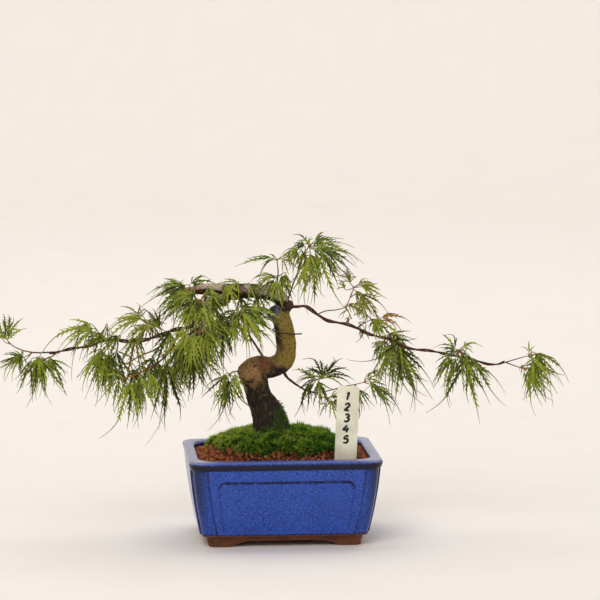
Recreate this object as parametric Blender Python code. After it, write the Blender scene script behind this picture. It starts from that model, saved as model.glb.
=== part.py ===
"""Lace-leaf Japanese maple bonsai planted in a glazed rectangular pot.

Lengths are in millimetres and are turned into metres when a mesh is made. The pot's feet
stand on Z = 0 under the origin, X runs along the pot's long side and -Y is the front.
"""
import math

import bmesh
import bpy
from mathutils import Matrix, Quaternion, Vector, noise
from mathutils.bvhtree import BVHTree

MM = 0.001
GAP = 0.3

# Pot: half length, half depth and corner radius at each level.
POT_HEIGHT = 60.5
LIP_HALF = (66.2, 52.0)
LIP_RADIUS = 9.0
LIP_HEIGHT = 5.2
BODY_TOP_HALF = (65.4, 51.2)
BODY_FOOT_HALF = (58.6, 43.8)
BODY_FOOT_Z = 10.0
CORNER_STEP = 1.6
CORNER_LENGTH = 11.5
BAND_TOP_Z = 7.2
BAND_HALF = (53.4, 39.4)
MOUTH_HALF = (58.8, 42.6)
MOUTH_RADIUS = 14.0
FLOOR_Z = 13.0
FLOOR_HALF = (50.5, 35.5)
FLOOR_RADIUS = 10.0
FOOT_ARCH = [(-40.0, 0.0), (-35.0, 1.3), (-30.0, 2.9), (-25.0, 4.0),
             (25.0, 4.0), (30.0, 2.9), (35.0, 1.3), (40.0, 0.0)]
SIDE_ARCH = [(-27.0, 0.0), (-22.0, 1.3), (-17.0, 2.9), (-12.0, 4.0),
             (12.0, 4.0), (17.0, 2.9), (22.0, 1.3), (27.0, 0.0)]
DRAIN_RADIUS = 6.0
DRAIN_X = 24.0
GROOVE_RADIUS = 1.1
GROOVE_TOP_Z = 46.0
GROOVE_FOOT_Z = 13.0

# Soil and moss.
SOIL_Z = 57.0
GRAIN = 1.0
MOSS_CENTRE = (-2.0, 2.0)
MOSS_HALF = (50.0, 33.0)
MOSS_RISE = 18.5
MOSS_SPIKE = 1.5
TRUNK_FOOT_X = -7.2
TRUNK_FOOT_Z = 46.0
TRUNK_FOOT_RADIUS = 13.4

# Plant label.
LABEL_SIZE = (15.2, 1.2, 80.0)
LABEL_FOOT = (40.3, -34.0, 29.0)
LABEL_LEAN_RIGHT = 2.6
LABEL_LEAN_BACK = 3.0

# Wood: (x, y, z, radius) down the middle of each limb.
TRUNK = [
    (-7.2, 0.0, 46.0, 13.4), (-7.2, 0.0, 60.0, 13.4), (-7.3, 0.0, 69.0, 13.2), (-7.5, 0.0, 76.0, 12.7),
    (-8.6, 0.0, 83.5, 11.8), (-11.4, 0.0, 90.2, 10.3), (-14.4, -0.5, 96.0, 9.1), (-16.5, -1.5, 102.3, 8.6),
    (-18.4, -2.5, 108.4, 8.9), (-20.2, -3.0, 113.6, 9.3), (-18.6, -2.6, 117.4, 8.6), (-13.6, -1.2, 118.6, 7.8),
    (-7.4, 0.6, 118.2, 7.3), (-1.6, 2.2, 119.4, 7.4), (2.4, 3.0, 123.2, 7.3), (3.8, 3.0, 128.6, 7.1),
    (3.9, 3.0, 134.6, 6.9), (3.1, 3.0, 141.0, 6.8), (1.7, 3.0, 147.2, 6.6), (0.4, 3.4, 152.6, 6.2),
    (0.8, 4.0, 157.0, 5.4), (1.2, 4.4, 160.0, 3.6)]
TRUNK_LUMP = [(-22.0, -3.6, 110.5, 4.0), (-24.2, -4.0, 115.5, 6.4), (-22.6, -3.4, 120.4, 4.2)]
KNOB = [(0.6, 3.0, 151.6, 5.9), (-2.2, 0.6, 154.4, 5.8), (-4.6, -1.4, 156.6, 5.4)]
PASTE_RADIUS = 5.5
STUB = [(1.4, 3.8, 157.0, 4.4), (5.2, 3.6, 160.2, 3.6), (7.4, 3.6, 162.8, 2.6)]
LIMB = [
    (1.0, 4.0, 157.6, 5.2), (2.2, 6.0, 162.2, 4.9), (-1.2, 8.0, 166.6, 4.9), (-7.8, 9.0, 169.0, 5.0),
    (-16.8, 9.0, 170.3, 5.0), (-25.2, 8.0, 170.6, 5.3), (-33.2, 6.0, 170.4, 5.6), (-41.2, 4.0, 171.6, 5.0),
    (-49.6, 2.0, 172.6, 4.2), (-57.6, 0.4, 172.6, 3.2), (-62.0, 0.0, 172.2, 2.2)]
LIMB_KNOT = [(-36.5, 5.0, 167.0, 4.0), (-41.0, 3.4, 165.6, 5.2), (-46.0, 1.4, 167.0, 3.6)]
LEADER = [
    (-41.0, 4.0, 169.5, 3.0), (-46.4, -1.0, 163.9, 2.3), (-53.6, -5.0, 155.5, 2.0), (-61.4, -6.0, 148.9, 1.8),
    (-69.9, -5.0, 145.9, 1.7), (-78.3, -4.0, 144.2, 1.6), (-86.6, -3.0, 141.3, 1.5), (-93.2, -2.0, 138.2, 1.5),
    (-100.1, -1.0, 137.2, 1.4), (-107.4, 0.0, 138.1, 1.4), (-115.5, 0.0, 138.7, 1.3), (-123.2, 0.0, 137.5, 1.3),
    (-131.6, 0.0, 135.2, 1.2), (-143.4, 0.0, 132.4, 1.1), (-155.0, 0.0, 130.7, 1.0), (-164.4, 0.0, 130.3, 0.9)]
BRANCHES = [
    [(-55.0, -5.3, 154.2, 1.5), (-62.5, -0.8, 146.5, 1.3), (-71.0, 7.0, 138.6, 1.2),
     (-79.8, 13.5, 133.4, 1.1), (-88.0, 19.0, 127.8, 1.0)],
    [(-69.9, -5.0, 145.9, 1.4), (-74.4, -11.0, 137.4, 1.2), (-79.8, -15.5, 129.4, 1.1),
     (-88.6, -19.5, 123.2, 1.0)],
    [(2.0, 3.4, 159.4, 3.0), (8.0, 4.0, 159.6, 2.0), (13.0, 3.0, 159.9, 1.6), (16.6, 2.0, 160.2, 1.5),
     (20.7, 2.0, 157.4, 1.5), (25.7, 1.0, 154.1, 1.4), (31.9, 1.0, 150.9, 1.4), (39.0, 0.0, 148.9, 1.3),
     (45.9, 0.0, 147.0, 1.3), (53.6, 0.0, 144.4, 1.3), (61.9, 0.0, 140.8, 1.2), (69.6, 0.0, 138.0, 1.2),
     (77.3, 0.0, 135.7, 1.2), (84.6, 0.0, 132.4, 1.1), (91.2, 0.0, 130.1, 1.1), (97.6, 0.0, 128.6, 1.1),
     (105.1, 0.0, 127.8, 1.0), (113.4, 0.0, 126.7, 1.0), (121.8, 0.0, 124.6, 1.0), (130.2, 0.0, 122.5, 1.0),
     (137.8, 0.0, 120.6, 0.9), (144.8, 0.0, 118.9, 0.9), (151.0, 0.0, 118.2, 0.9), (156.2, 0.0, 119.4, 0.8)],
    [(-10.6, 0.6, 119.0, 2.4), (-12.2, -3.0, 125.0, 1.6), (-16.1, -6.6, 131.6, 1.3), (-21.5, -9.0, 140.3, 1.1),
     (-24.6, -10.4, 147.4, 1.0), (-26.3, -11.6, 152.4, 0.9)],
    [(0.6, 3.0, 117.6, 2.4), (4.4, 8.0, 110.6, 1.6), (8.0, 12.0, 106.8, 1.4), (13.0, 16.0, 102.8, 1.2),
     (19.2, 19.6, 98.8, 1.1), (26.6, 21.6, 96.4, 1.0)],
]
RIGHT_BRANCH = 2

# Training wire: radius, and the turn it takes round the trunk.
WIRE_RADIUS = 0.75
WIRE_STEPS = 8
RIGHT_PITCH = 29.0
TRUNK_TURN = (3.4, 3.0, 8.7, 141.2, 0.42)
LEFT_PITCH = -25.0

# Leaves: lens-shaped blades, thickest down the rib of each lobe.
BLADE_THICK = 1.1
STALK_RADIUS = 0.45
FORK = 1.0
DROOP = 0.34
LOBE_FALLOFF = 0.42
TOOTH = 0.125
LOBE_SHARE = 0.76

# Points closer than this are merged in a new mesh.
WELD = 0.002 * MM

LEAFY = (0.10, 0.22, 0.02)
REDDISH = (0.16, 0.15, 0.02)

# Each spray: name, twig radius, twigs from the wood outward, and leaves as
# (twig point the petiole leaves from, hub, tip of the middle lobe, lobes, half fan angle, roll).
SPRAYS = [
    ("spray_left_tip", 1.0, [
        [(-165.0, 0.0, 130.2), (-171.2, 0.0, 130.6),
         (-177.5, 0.0, 132.0), (-183.1, -1.0, 134.6), (-185.8, -2.0, 136.8)],
    ], [
        (4, (-187.9, -3.0, 139.7), (-190.7, -6.0, 164.0), 5, 52, 20),
        (1, (-180.2, 3.0, 126.4), (-195.6, 4.0, 122.0), 7, 60, 10),
        (2, (-178.9, -4.0, 126.5), (-187.2, -12.0, 114.8), 5, 50, -20),
    ]),
    ("spray_left_outer", 1.0, [
        [(-153.8, 0.0, 130.6), (-158.0, -3.0, 127.8), (-162.9, -4.0, 126.5), (-167.8, -4.0, 127.2)],
    ], [
        (3, (-172.0, -5.0, 125.9), (-175.5, -9.0, 93.3), 5, 42, 15),
        (2, (-164.3, -7.0, 124.7), (-157.5, -12.0, 93.0), 5, 45, -15),
        (1, (-158.7, -1.0, 125.4), (-146.7, 6.0, 101.9), 5, 42, 20),
    ]),
    ("spray_left_upper", 0.9, [
        [(-120.4, 0.0, 138.0), (-123.1, 4.0, 140.4), (-126.5, 6.0, 144.4)],
    ], [
        (2, (-129.3, 4.0, 146.0), (-160.8, -4.0, 136.3), 7, 42, 5),
        (2, (-128.5, 10.0, 142.6), (-143.7, 16.0, 124.8), 5, 50, 25),
        (1, (-123.3, -4.0, 144.1), (-132.0, -16.0, 126.5), 5, 48, -25),
    ]),
    ("spray_left_red", 0.9, [
        [(-89.9, -3.0, 139.7), (-91.5, -7.0, 145.1), (-93.0, -9.0, 151.0)],
    ], [
        (2, (-98.0, -12.0, 154.1), (-125.9, -20.0, 150.0), 5, 26, 10),
        (2, (-99.2, -8.0, 156.5), (-106.7, -6.0, 166.1), 5, 70, 0),
        (1, (-95.4, -16.0, 150.3), (-111.6, -26.0, 135.3), 5, 45, -20),
        (2, (-89.9, -2.0, 150.2), (-79.5, 10.0, 135.5), 5, 48, 30),
    ]),
    ("spray_left_low", 0.9, [
        [(-116.9, 0.0, 138.7), (-120.3, 2.0, 134.2), (-123.2, 1.0, 130.1)],
    ], [
        (2, (-126.8, -3.0, 129.2), (-137.4, -10.0, 107.5), 5, 45, 10),
        (2, (-124.6, 1.0, 127.3), (-128.0, 1.0, 93.4), 7, 40, -10),
        (1, (-118.7, 9.0, 127.8), (-116.4, 16.0, 90.7), 7, 42, 20),
        (2, (-121.4, -8.0, 126.2), (-121.0, -19.0, 100.2), 5, 45, -30),
        (1, (-113.4, 2.0, 130.7), (-107.7, 6.0, 95.6), 5, 45, 10),
    ]),
    ("spray_left_front", 1.0, [
        [(-88.4, -19.4, 123.4), (-97.8, -24.0, 119.0), (-104.1, -27.0, 117.3), (-110.3, -28.0, 115.3)],
    ], [
        (3, (-113.8, -30.0, 113.5), (-121.6, -36.0, 94.8), 5, 50, 10),
        (2, (-105.6, -31.0, 113.6), (-105.8, -34.0, 77.2), 7, 35, 0),
        (1, (-98.0, -29.0, 116.2), (-94.2, -37.0, 88.0), 7, 40, 15),
        (0, (-91.7, -27.0, 118.7), (-84.0, -38.0, 97.2), 5, 45, -20),
    ]),
    ("spray_left_back", 1.0, [
        [(-88.0, 19.0, 127.8), (-96.5, 23.0, 124.0), (-103.4, 26.0, 119.4), (-108.3, 27.0, 117.8)],
    ], [
        (3, (-111.0, 29.0, 114.7), (-111.5, 35.0, 88.9), 5, 48, 20),
        (2, (-101.8, 31.0, 113.8), (-97.1, 40.0, 82.5), 7, 42, -10),
        (1, (-94.8, 28.0, 117.0), (-88.0, 38.0, 87.1), 5, 45, 25),
    ]),
    ("spray_left_mid", 1.0, [
        [(-71.0, 7.0, 138.6), (-75.1, 14.0, 131.5), (-79.2, 17.0, 125.4)],
    ], [
        (2, (-84.9, 15.0, 121.4), (-87.9, 10.0, 82.3), 7, 38, 5),
        (2, (-79.0, 20.0, 119.4), (-74.6, 24.0, 66.1), 7, 35, -15),
        (1, (-72.0, 20.0, 126.5), (-69.4, 29.0, 91.1), 7, 42, 25),
    ]),
    ("spray_limb_end", 1.2, [
        [(-59.2, 0.0, 172.6), (-63.4, -1.0, 172.7), (-66.2, -2.0, 172.8)],
    ], [
        (2, (-68.9, 0.0, 173.3), (-79.9, 2.0, 182.3), 3, 40, 0),
        (2, (-69.8, -4.0, 171.6), (-94.3, -8.0, 163.5), 5, 28, 10),
        (1, (-68.0, -8.0, 169.8), (-86.4, -16.0, 153.1), 7, 38, -15),
        (1, (-64.4, 6.0, 166.3), (-77.7, 18.0, 143.8), 5, 45, 30),
        (1, (-62.4, -7.0, 166.9), (-64.6, -9.0, 141.1), 5, 44, 5),
        (0, (-61.6, 5.0, 176.4), (-45.6, 16.0, 178.9), 5, 35, 30),
    ]),
    ("spray_limb_front", 1.2, [
        [(-50.9, -2.0, 171.4), (-53.5, -9.0, 169.2), (-55.9, -14.0, 166.9)],
    ], [
        (2, (-60.9, -17.0, 164.4), (-71.3, -19.0, 139.4), 7, 42, 0),
        (2, (-54.4, -24.0, 163.7), (-54.5, -37.0, 143.5), 7, 45, 0),
        (1, (-49.0, -15.0, 167.0), (-41.0, -29.0, 147.5), 5, 45, 20),
    ]),
    ("spray_leader_front", 1.2, [
        [(-52.5, -5.0, 156.9), (-54.5, -14.0, 152.9), (-56.3, -21.0, 149.4), (-58.6, -25.0, 146.4)],
    ], [
        (3, (-62.3, -29.0, 144.7), (-75.2, -40.0, 115.4), 7, 42, 10),
        (3, (-56.5, -24.0, 142.1), (-57.2, -25.0, 113.6), 7, 45, -5),
        (2, (-52.5, -26.0, 146.5), (-44.8, -35.0, 119.0), 7, 42, 15),
        (1, (-50.0, -19.0, 150.6), (-36.4, -22.0, 132.1), 5, 45, 25),
    ]),
    ("spray_leader_low", 1.0, [
        [(-62.2, -5.0, 147.7), (-63.0, -6.0, 141.5), (-63.7, -7.0, 135.3), (-63.8, -8.0, 131.2)],
    ], [
        (3, (-66.7, -10.0, 127.9), (-70.4, -15.0, 98.3), 7, 38, 0),
        (3, (-62.3, -6.0, 126.0), (-58.1, -6.0, 89.4), 5, 34, 15),
        (2, (-57.6, -9.0, 132.7), (-51.7, -14.0, 105.2), 5, 45, -20),
        (1, (-59.3, -13.0, 138.0), (-46.4, -18.0, 121.1), 5, 45, 10),
        (2, (-68.4, -3.0, 132.0), (-79.9, 2.0, 108.8), 5, 45, 30),
    ]),
    ("spray_limb_back", 1.2, [
        [(-39.0, 9.0, 167.5), (-42.6, 18.0, 160.9), (-46.3, 26.0, 153.7), (-49.5, 31.0, 146.7)],
    ], [
        (3, (-55.0, 34.0, 142.1), (-60.9, 42.0, 113.9), 7, 42, 10),
        (3, (-48.7, 33.0, 140.0), (-44.1, 38.0, 110.1), 7, 45, -15),
        (2, (-41.2, 29.0, 147.6), (-32.2, 37.0, 121.7), 7, 42, 20),
        (1, (-48.6, 23.0, 159.0), (-67.7, 34.0, 146.4), 7, 40, -25),
    ]),
    ("spray_inner_top", 0.9, [
        [(-26.3, -11.6, 152.4), (-28.9, -14.0, 157.1), (-29.7, -16.0, 158.7)],
    ], [
        (2, (-27.3, -21.0, 159.2), (-8.1, -30.0, 132.3), 7, 36, 0),
        (2, (-31.3, -18.0, 156.8), (-35.7, -22.0, 130.0), 7, 42, 10),
        (2, (-32.3, -13.0, 159.8), (-46.3, -5.0, 144.9), 5, 40, -20),
        (1, (-25.1, -10.0, 158.1), (-13.1, 2.0, 136.4), 5, 42, 30),
    ]),
    ("spray_trunk_left", 0.9, [
        [(-29.5, -4.0, 116.6), (-33.2, -7.0, 116.3), (-36.1, -9.0, 115.1)],
    ], [
        (2, (-39.0, -11.0, 113.2), (-57.4, -17.0, 96.5), 5, 42, 10),
        (2, (-36.9, -10.0, 111.0), (-37.9, -14.0, 77.1), 7, 35, -10),
        (2, (-33.7, -13.0, 112.8), (-28.8, -22.0, 92.2), 5, 42, 20),
    ]),
    ("spray_crown_left", 1.0, [
        [(-3.0, 8.2, 167.5), (-1.6, 6.0, 180.5), (-1.5, 7.0, 187.5), (-2.1, 8.0, 191.7)],
    ], [
        (1, (-6.0, 3.0, 181.5), (-24.5, -2.0, 174.9), 5, 36, 15),
        (1, (-5.0, -1.0, 179.0), (-14.4, -14.0, 159.9), 7, 40, -5),
        (1, (1.0, 4.0, 181.4), (5.3, -3.0, 161.6), 7, 36, 10),
        (3, (-5.5, 9.0, 193.0), (-30.7, 8.0, 184.6), 3, 24, 0),
        (3, (1.7, 12.0, 192.0), (14.6, 22.0, 183.3), 5, 50, 30),
    ]),
    ("spray_crown_top", 1.1, [
        [(5.3, 5.0, 164.3), (8.6, 3.0, 175.1),
         (12.5, 0.0, 186.0), (15.8, -2.0, 196.1), (19.2, -3.0, 202.5)],
    ], [
        (4, (17.2, -2.0, 205.9), (11.3, 2.0, 212.7), 3, 35, 0),
        (4, (23.6, -1.0, 204.4), (45.1, 5.0, 201.1), 5, 36, 20),
        (4, (24.5, -6.0, 202.0), (52.0, -14.0, 181.6), 5, 34, 0),
        (4, (22.7, -10.0, 199.5), (40.4, -26.0, 169.5), 5, 26, -20),
        (3, (20.0, -9.0, 197.4), (24.2, -16.0, 164.3), 7, 34, 10),
        (3, (11.3, -6.0, 200.6), (-3.1, -12.0, 192.7), 7, 42, 0),
        (2, (17.3, 6.0, 187.6), (21.2, 18.0, 170.1), 5, 42, -30),
    ]),
    ("spray_right_red", 0.8, [
        [(25.8, 0.0, 154.9), (31.0, -3.0, 157.4), (37.8, -5.0, 158.3),
         (43.9, -6.0, 160.5), (47.4, -6.0, 166.8), (50.1, -6.0, 173.9)],
    ], [
        (5, (47.5, -5.0, 177.3), (44.2, -3.0, 187.7), 5, 45, 0),
        (5, (54.9, -7.0, 175.4), (73.0, -12.0, 167.4), 5, 32, 10),
        (4, (55.2, -4.0, 168.7), (73.5, -2.0, 150.9), 5, 36, -10),
        (3, (49.8, -9.0, 162.9), (62.4, -14.0, 155.0), 5, 40, 20),
        (3, (44.3, -2.0, 156.6), (39.5, 5.0, 152.3), 3, 40, 0),
    ]),
    ("spray_right_a", 0.8, [
        [(52.9, 0.0, 145.1), (58.1, -3.0, 148.9), (62.1, -5.0, 151.2)],
    ], [
        (2, (65.3, -7.0, 151.4), (85.4, -13.0, 136.6), 5, 26, 10),
        (2, (60.0, -5.0, 153.3), (52.9, -6.0, 151.3), 3, 35, 0),
        (2, (63.3, -6.0, 148.5), (71.6, -12.0, 134.4), 5, 42, 30),
        (1, (58.9, 4.0, 143.9), (55.5, 11.0, 132.5), 3, 40, 0),
    ]),
    ("spray_right_b", 0.9, [
        [(71.7, 0.0, 137.3), (73.7, 5.0, 133.2), (76.0, 7.0, 130.8)],
    ], [
        (2, (72.3, 5.0, 130.4), (62.2, 2.0, 122.2), 5, 45, 0),
        (2, (79.1, 4.0, 130.5), (81.7, 2.0, 89.7), 7, 38, -10),
        (2, (82.5, 9.0, 129.2), (105.7, 10.0, 90.1), 7, 34, 10),
        (1, (79.3, 11.0, 135.4), (99.6, 22.0, 119.1), 7, 38, 25),
        (1, (67.8, 8.0, 133.6), (65.0, 14.0, 123.6), 5, 45, 20),
    ]),
    ("spray_right_c", 0.9, [
        [(121.8, 0.0, 124.6), (123.5, -3.0, 127.8), (124.0, -4.0, 129.3)],
    ], [
        (2, (120.5, -4.0, 130.7), (110.0, -5.0, 140.7), 5, 48, 0),
        (2, (126.9, -3.0, 130.6), (136.4, 0.0, 134.5), 3, 40, 10),
        (2, (120.7, -8.0, 124.1), (107.6, -12.0, 93.7), 5, 36, 0),
        (1, (126.5, -6.0, 123.2), (132.3, -14.0, 75.7), 3, 20, -10),
        (1, (129.4, -5.0, 125.2), (152.2, -6.0, 88.0), 3, 24, 10),
        (1, (128.1, -9.0, 123.5), (139.1, -19.0, 100.2), 5, 45, -30),
    ]),
    ("spray_right_tip", 0.8, [
        [(156.6, 0.0, 119.6), (162.7, -1.0, 121.5), (169.0, -1.0, 123.3), (172.4, -1.0, 124.0)],
        [(156.6, 0.0, 119.6), (163.0, 1.0, 117.1), (168.1, 2.0, 115.2), (170.8, 2.0, 114.5)],
    ], [
        (3, (173.1, -1.0, 126.8), (173.1, -1.0, 136.7), 3, 30, 0),
        (3, (177.5, 0.0, 126.0), (199.6, 3.0, 98.8), 7, 36, 10),
        (3, (175.1, -6.0, 122.5), (184.1, -18.0, 100.1), 7, 42, -10),
        (7, (173.8, 3.0, 112.2), (182.0, 2.0, 86.9), 7, 40, 10),
        (7, (174.1, 5.0, 114.8), (198.7, 10.0, 98.6), 5, 38, 25),
        (7, (170.0, 1.0, 111.8), (171.9, 0.0, 103.4), 3, 35, 0),
    ]),
    ("spray_low_right_a", 0.9, [
        [(15.5, 17.4, 101.2), (23.9, 17.0, 105.5), (28.8, 17.0, 107.6)],
    ], [
        (2, (30.1, 16.0, 109.9), (29.7, 12.0, 126.7), 7, 55, 0),
        (2, (33.0, 17.0, 108.4), (51.8, 15.0, 112.9), 5, 38, 10),
        (2, (28.0, 16.0, 104.9), (29.5, 10.0, 82.3), 5, 42, 20),
        (1, (23.5, 20.0, 108.0), (13.7, 28.0, 114.9), 5, 45, 10),
        (1, (20.6, 12.0, 104.7), (13.8, 6.0, 81.4), 5, 24, 0),
    ]),
    ("spray_low_right_b", 0.8, [
        [(26.6, 21.6, 96.4), (38.0, 24.0, 98.2),
         (45.8, 25.0, 100.2), (54.3, 25.0, 101.7), (60.5, 24.0, 103.2)],
    ], [
        (4, (64.6, 23.0, 103.3), (81.0, 19.0, 86.0), 7, 38, 0),
        (4, (62.9, 27.0, 105.0), (75.9, 35.0, 106.1), 5, 40, 20),
        (3, (56.6, 27.0, 97.8), (68.2, 30.0, 81.0), 5, 35, 20),
    ]),
    ("spray_low_right_c", 0.8, [
        [(24.0, 20.9, 97.3), (29.6, 18.0, 94.7), (33.6, 16.0, 92.8)],
    ], [
        (2, (36.3, 15.0, 92.3), (39.4, 11.0, 75.8), 5, 42, 0),
        (2, (36.7, 18.0, 94.0), (48.1, 20.0, 94.5), 5, 42, 30),
        (2, (33.2, 19.0, 89.6), (28.1, 24.0, 80.4), 3, 40, 0),
    ]),
]


def clear_scene():
    for obj in list(bpy.data.objects):
        bpy.data.objects.remove(obj, do_unlink=True)
    for mesh in list(bpy.data.meshes):
        bpy.data.meshes.remove(mesh)


def new_collection(name):
    collection = bpy.data.collections.new(name)
    bpy.context.scene.collection.children.link(collection)
    return collection


def new_material(name, color, roughness, metallic=0.0):
    material = bpy.data.materials.new(name)
    material.use_nodes = True
    shader = material.node_tree.nodes["Principled BSDF"]
    shader.inputs["Base Color"].default_value = (*color, 1.0)
    shader.inputs["Roughness"].default_value = roughness
    shader.inputs["Metallic"].default_value = metallic
    return material


def face_outward(mesh):
    bm = bmesh.new()
    bm.from_mesh(mesh)
    bmesh.ops.remove_doubles(bm, verts=bm.verts, dist=WELD)
    bmesh.ops.recalc_face_normals(bm, faces=bm.faces)
    bm.to_mesh(mesh)
    bm.free()


def mesh_object(name, verts, faces, collection):
    mesh = bpy.data.meshes.new(name)
    mesh.from_pydata([tuple(value * MM for value in vert) for vert in verts], [], faces)
    face_outward(mesh)
    obj = bpy.data.objects.new(name, mesh)
    collection.objects.link(obj)
    return obj


def loft(name, rings, collection):
    """A closed body through rings that all have the same number of points."""
    count = len(rings[0])
    verts = [point for ring in rings for point in ring]
    faces = [tuple(range(count - 1, -1, -1))]
    for level in range(len(rings) - 1):
        low = level * count
        for i in range(count):
            j = (i + 1) % count
            faces.append((low + i, low + j, low + count + j, low + count + i))
    faces.append(tuple(range(len(verts) - count, len(verts))))
    return mesh_object(name, verts, faces, collection)


def tube(name, points, resolution, collection):
    """A capped round tube through (x, y, z, radius) points, as a mesh."""
    curve = bpy.data.curves.new(name, "CURVE")
    curve.dimensions = "3D"
    curve.bevel_depth = MM
    curve.bevel_resolution = resolution
    curve.use_fill_caps = True
    spline = curve.splines.new("POLY")
    spline.points.add(len(points) - 1)
    for slot, (x, y, z, radius) in zip(spline.points, points):
        slot.co = (x * MM, y * MM, z * MM, 1.0)
        slot.radius = radius
    source = bpy.data.objects.new(name, curve)
    collection.objects.link(source)
    bpy.context.view_layer.update()
    graph = bpy.context.evaluated_depsgraph_get()
    mesh = bpy.data.meshes.new_from_object(source.evaluated_get(graph))
    bpy.data.objects.remove(source, do_unlink=True)
    bpy.data.curves.remove(curve)
    face_outward(mesh)
    obj = bpy.data.objects.new(name, mesh)
    collection.objects.link(obj)
    return obj


def bake(obj):
    """Turn an object's modifiers into plain mesh."""
    bpy.context.view_layer.update()
    graph = bpy.context.evaluated_depsgraph_get()
    mesh = bpy.data.meshes.new_from_object(obj.evaluated_get(graph))
    obj.modifiers.clear()
    old = obj.data
    obj.data = mesh
    bpy.data.meshes.remove(old)


def fuse(name, bodies, collection):
    """Join overlapping bodies into one."""
    base = bodies[0]
    others = bpy.data.collections.new(name + "_joined")
    bpy.context.scene.collection.children.link(others)
    for obj in bodies[1:]:
        for owner in list(obj.users_collection):
            owner.objects.unlink(obj)
        others.objects.link(obj)
    modifier = base.modifiers.new("join", "BOOLEAN")
    modifier.operation = "UNION"
    modifier.operand_type = "COLLECTION"
    modifier.collection = others
    modifier.solver = "MANIFOLD"
    bake(base)
    for obj in bodies[1:]:
        bpy.data.objects.remove(obj, do_unlink=True)
    bpy.data.collections.remove(others)
    base.name = name
    base.data.name = name
    return base


def cut(obj, cutters):
    """Take each cutter out of a body."""
    for cutter in cutters:
        cutter.hide_render = True
        cutter.display_type = "WIRE"
        modifier = obj.modifiers.new("cut", "BOOLEAN")
        modifier.operation = "DIFFERENCE"
        modifier.object = cutter
        modifier.solver = "EXACT"
        bake(obj)


def dress(obj, material):
    obj.data.materials.clear()
    obj.data.materials.append(material)
    for polygon in obj.data.polygons:
        polygon.material_index = 0


# pot

def plan(half, radius, z, step=0.0):
    """One level of the pot: a rounded rectangle whose corners may be stepped back."""
    length = max(CORNER_LENGTH, radius + 1.6)
    half_x, half_y = half
    quarter = [(half_x, half_y - length), (half_x - step, half_y - length + 0.9)]
    for i in range(4):
        angle = math.radians(30.0 * i)
        quarter.append((half_x - step - radius + radius * math.cos(angle),
                        half_y - step - radius + radius * math.sin(angle)))
    quarter += [(half_x - length + 0.9, half_y - step), (half_x - length, half_y)]
    back = quarter[::-1]
    ring = quarter + [(-x, y) for x, y in back] + [(-x, -y) for x, y in quarter] + [(x, -y) for x, y in back]
    return [(x, y, z) for x, y in ring]


def shrink(half, amount):
    return (half[0] - amount, half[1] - amount)


def body_half(z):
    """Half length and half depth of the pot's body, which bows out slightly half way up."""
    share = (z - BODY_FOOT_Z) / (POT_HEIGHT - LIP_HEIGHT - BODY_FOOT_Z)
    bow = 3.2 * share * (1.0 - share)
    return tuple(low + (high - low) * share + bow for low, high in zip(BODY_FOOT_HALF, BODY_TOP_HALF))


def wall_half(z):
    """Half size of the pot's inside between the floor's corner and the mouth."""
    share = (z - FLOOR_Z - 3.0) / (POT_HEIGHT - 2.0 - FLOOR_Z - 3.0)
    return tuple(low + 1.0 + (high - low - 1.0) * share for low, high in zip(FLOOR_HALF, MOUTH_HALF))


def groove_path(top_half, foot_half):
    """The panel line of the long face: up one side, across and down the other."""
    line = [(-foot_half, GROOVE_FOOT_Z), (-top_half, 40.0), (-top_half + 1.3, 44.2),
            (-top_half + 4.5, GROOVE_TOP_Z)]
    line += [(-s, z) for s, z in line[::-1]]
    points = []
    for s, z in line:
        points.append((s, -body_half(z)[1] - 0.35, z, GROOVE_RADIUS))
    return points


def arch(name, profile, axis, collection):
    reach = 80.0
    below = [(profile[-1][0], -5.0), (profile[0][0], -5.0)]
    outline = profile + below
    rings = []
    for side in (-reach, reach):
        rings.append([(s, side, z) if axis else (side, s, z) for s, z in outline])
    return loft(name, rings, collection)


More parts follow.
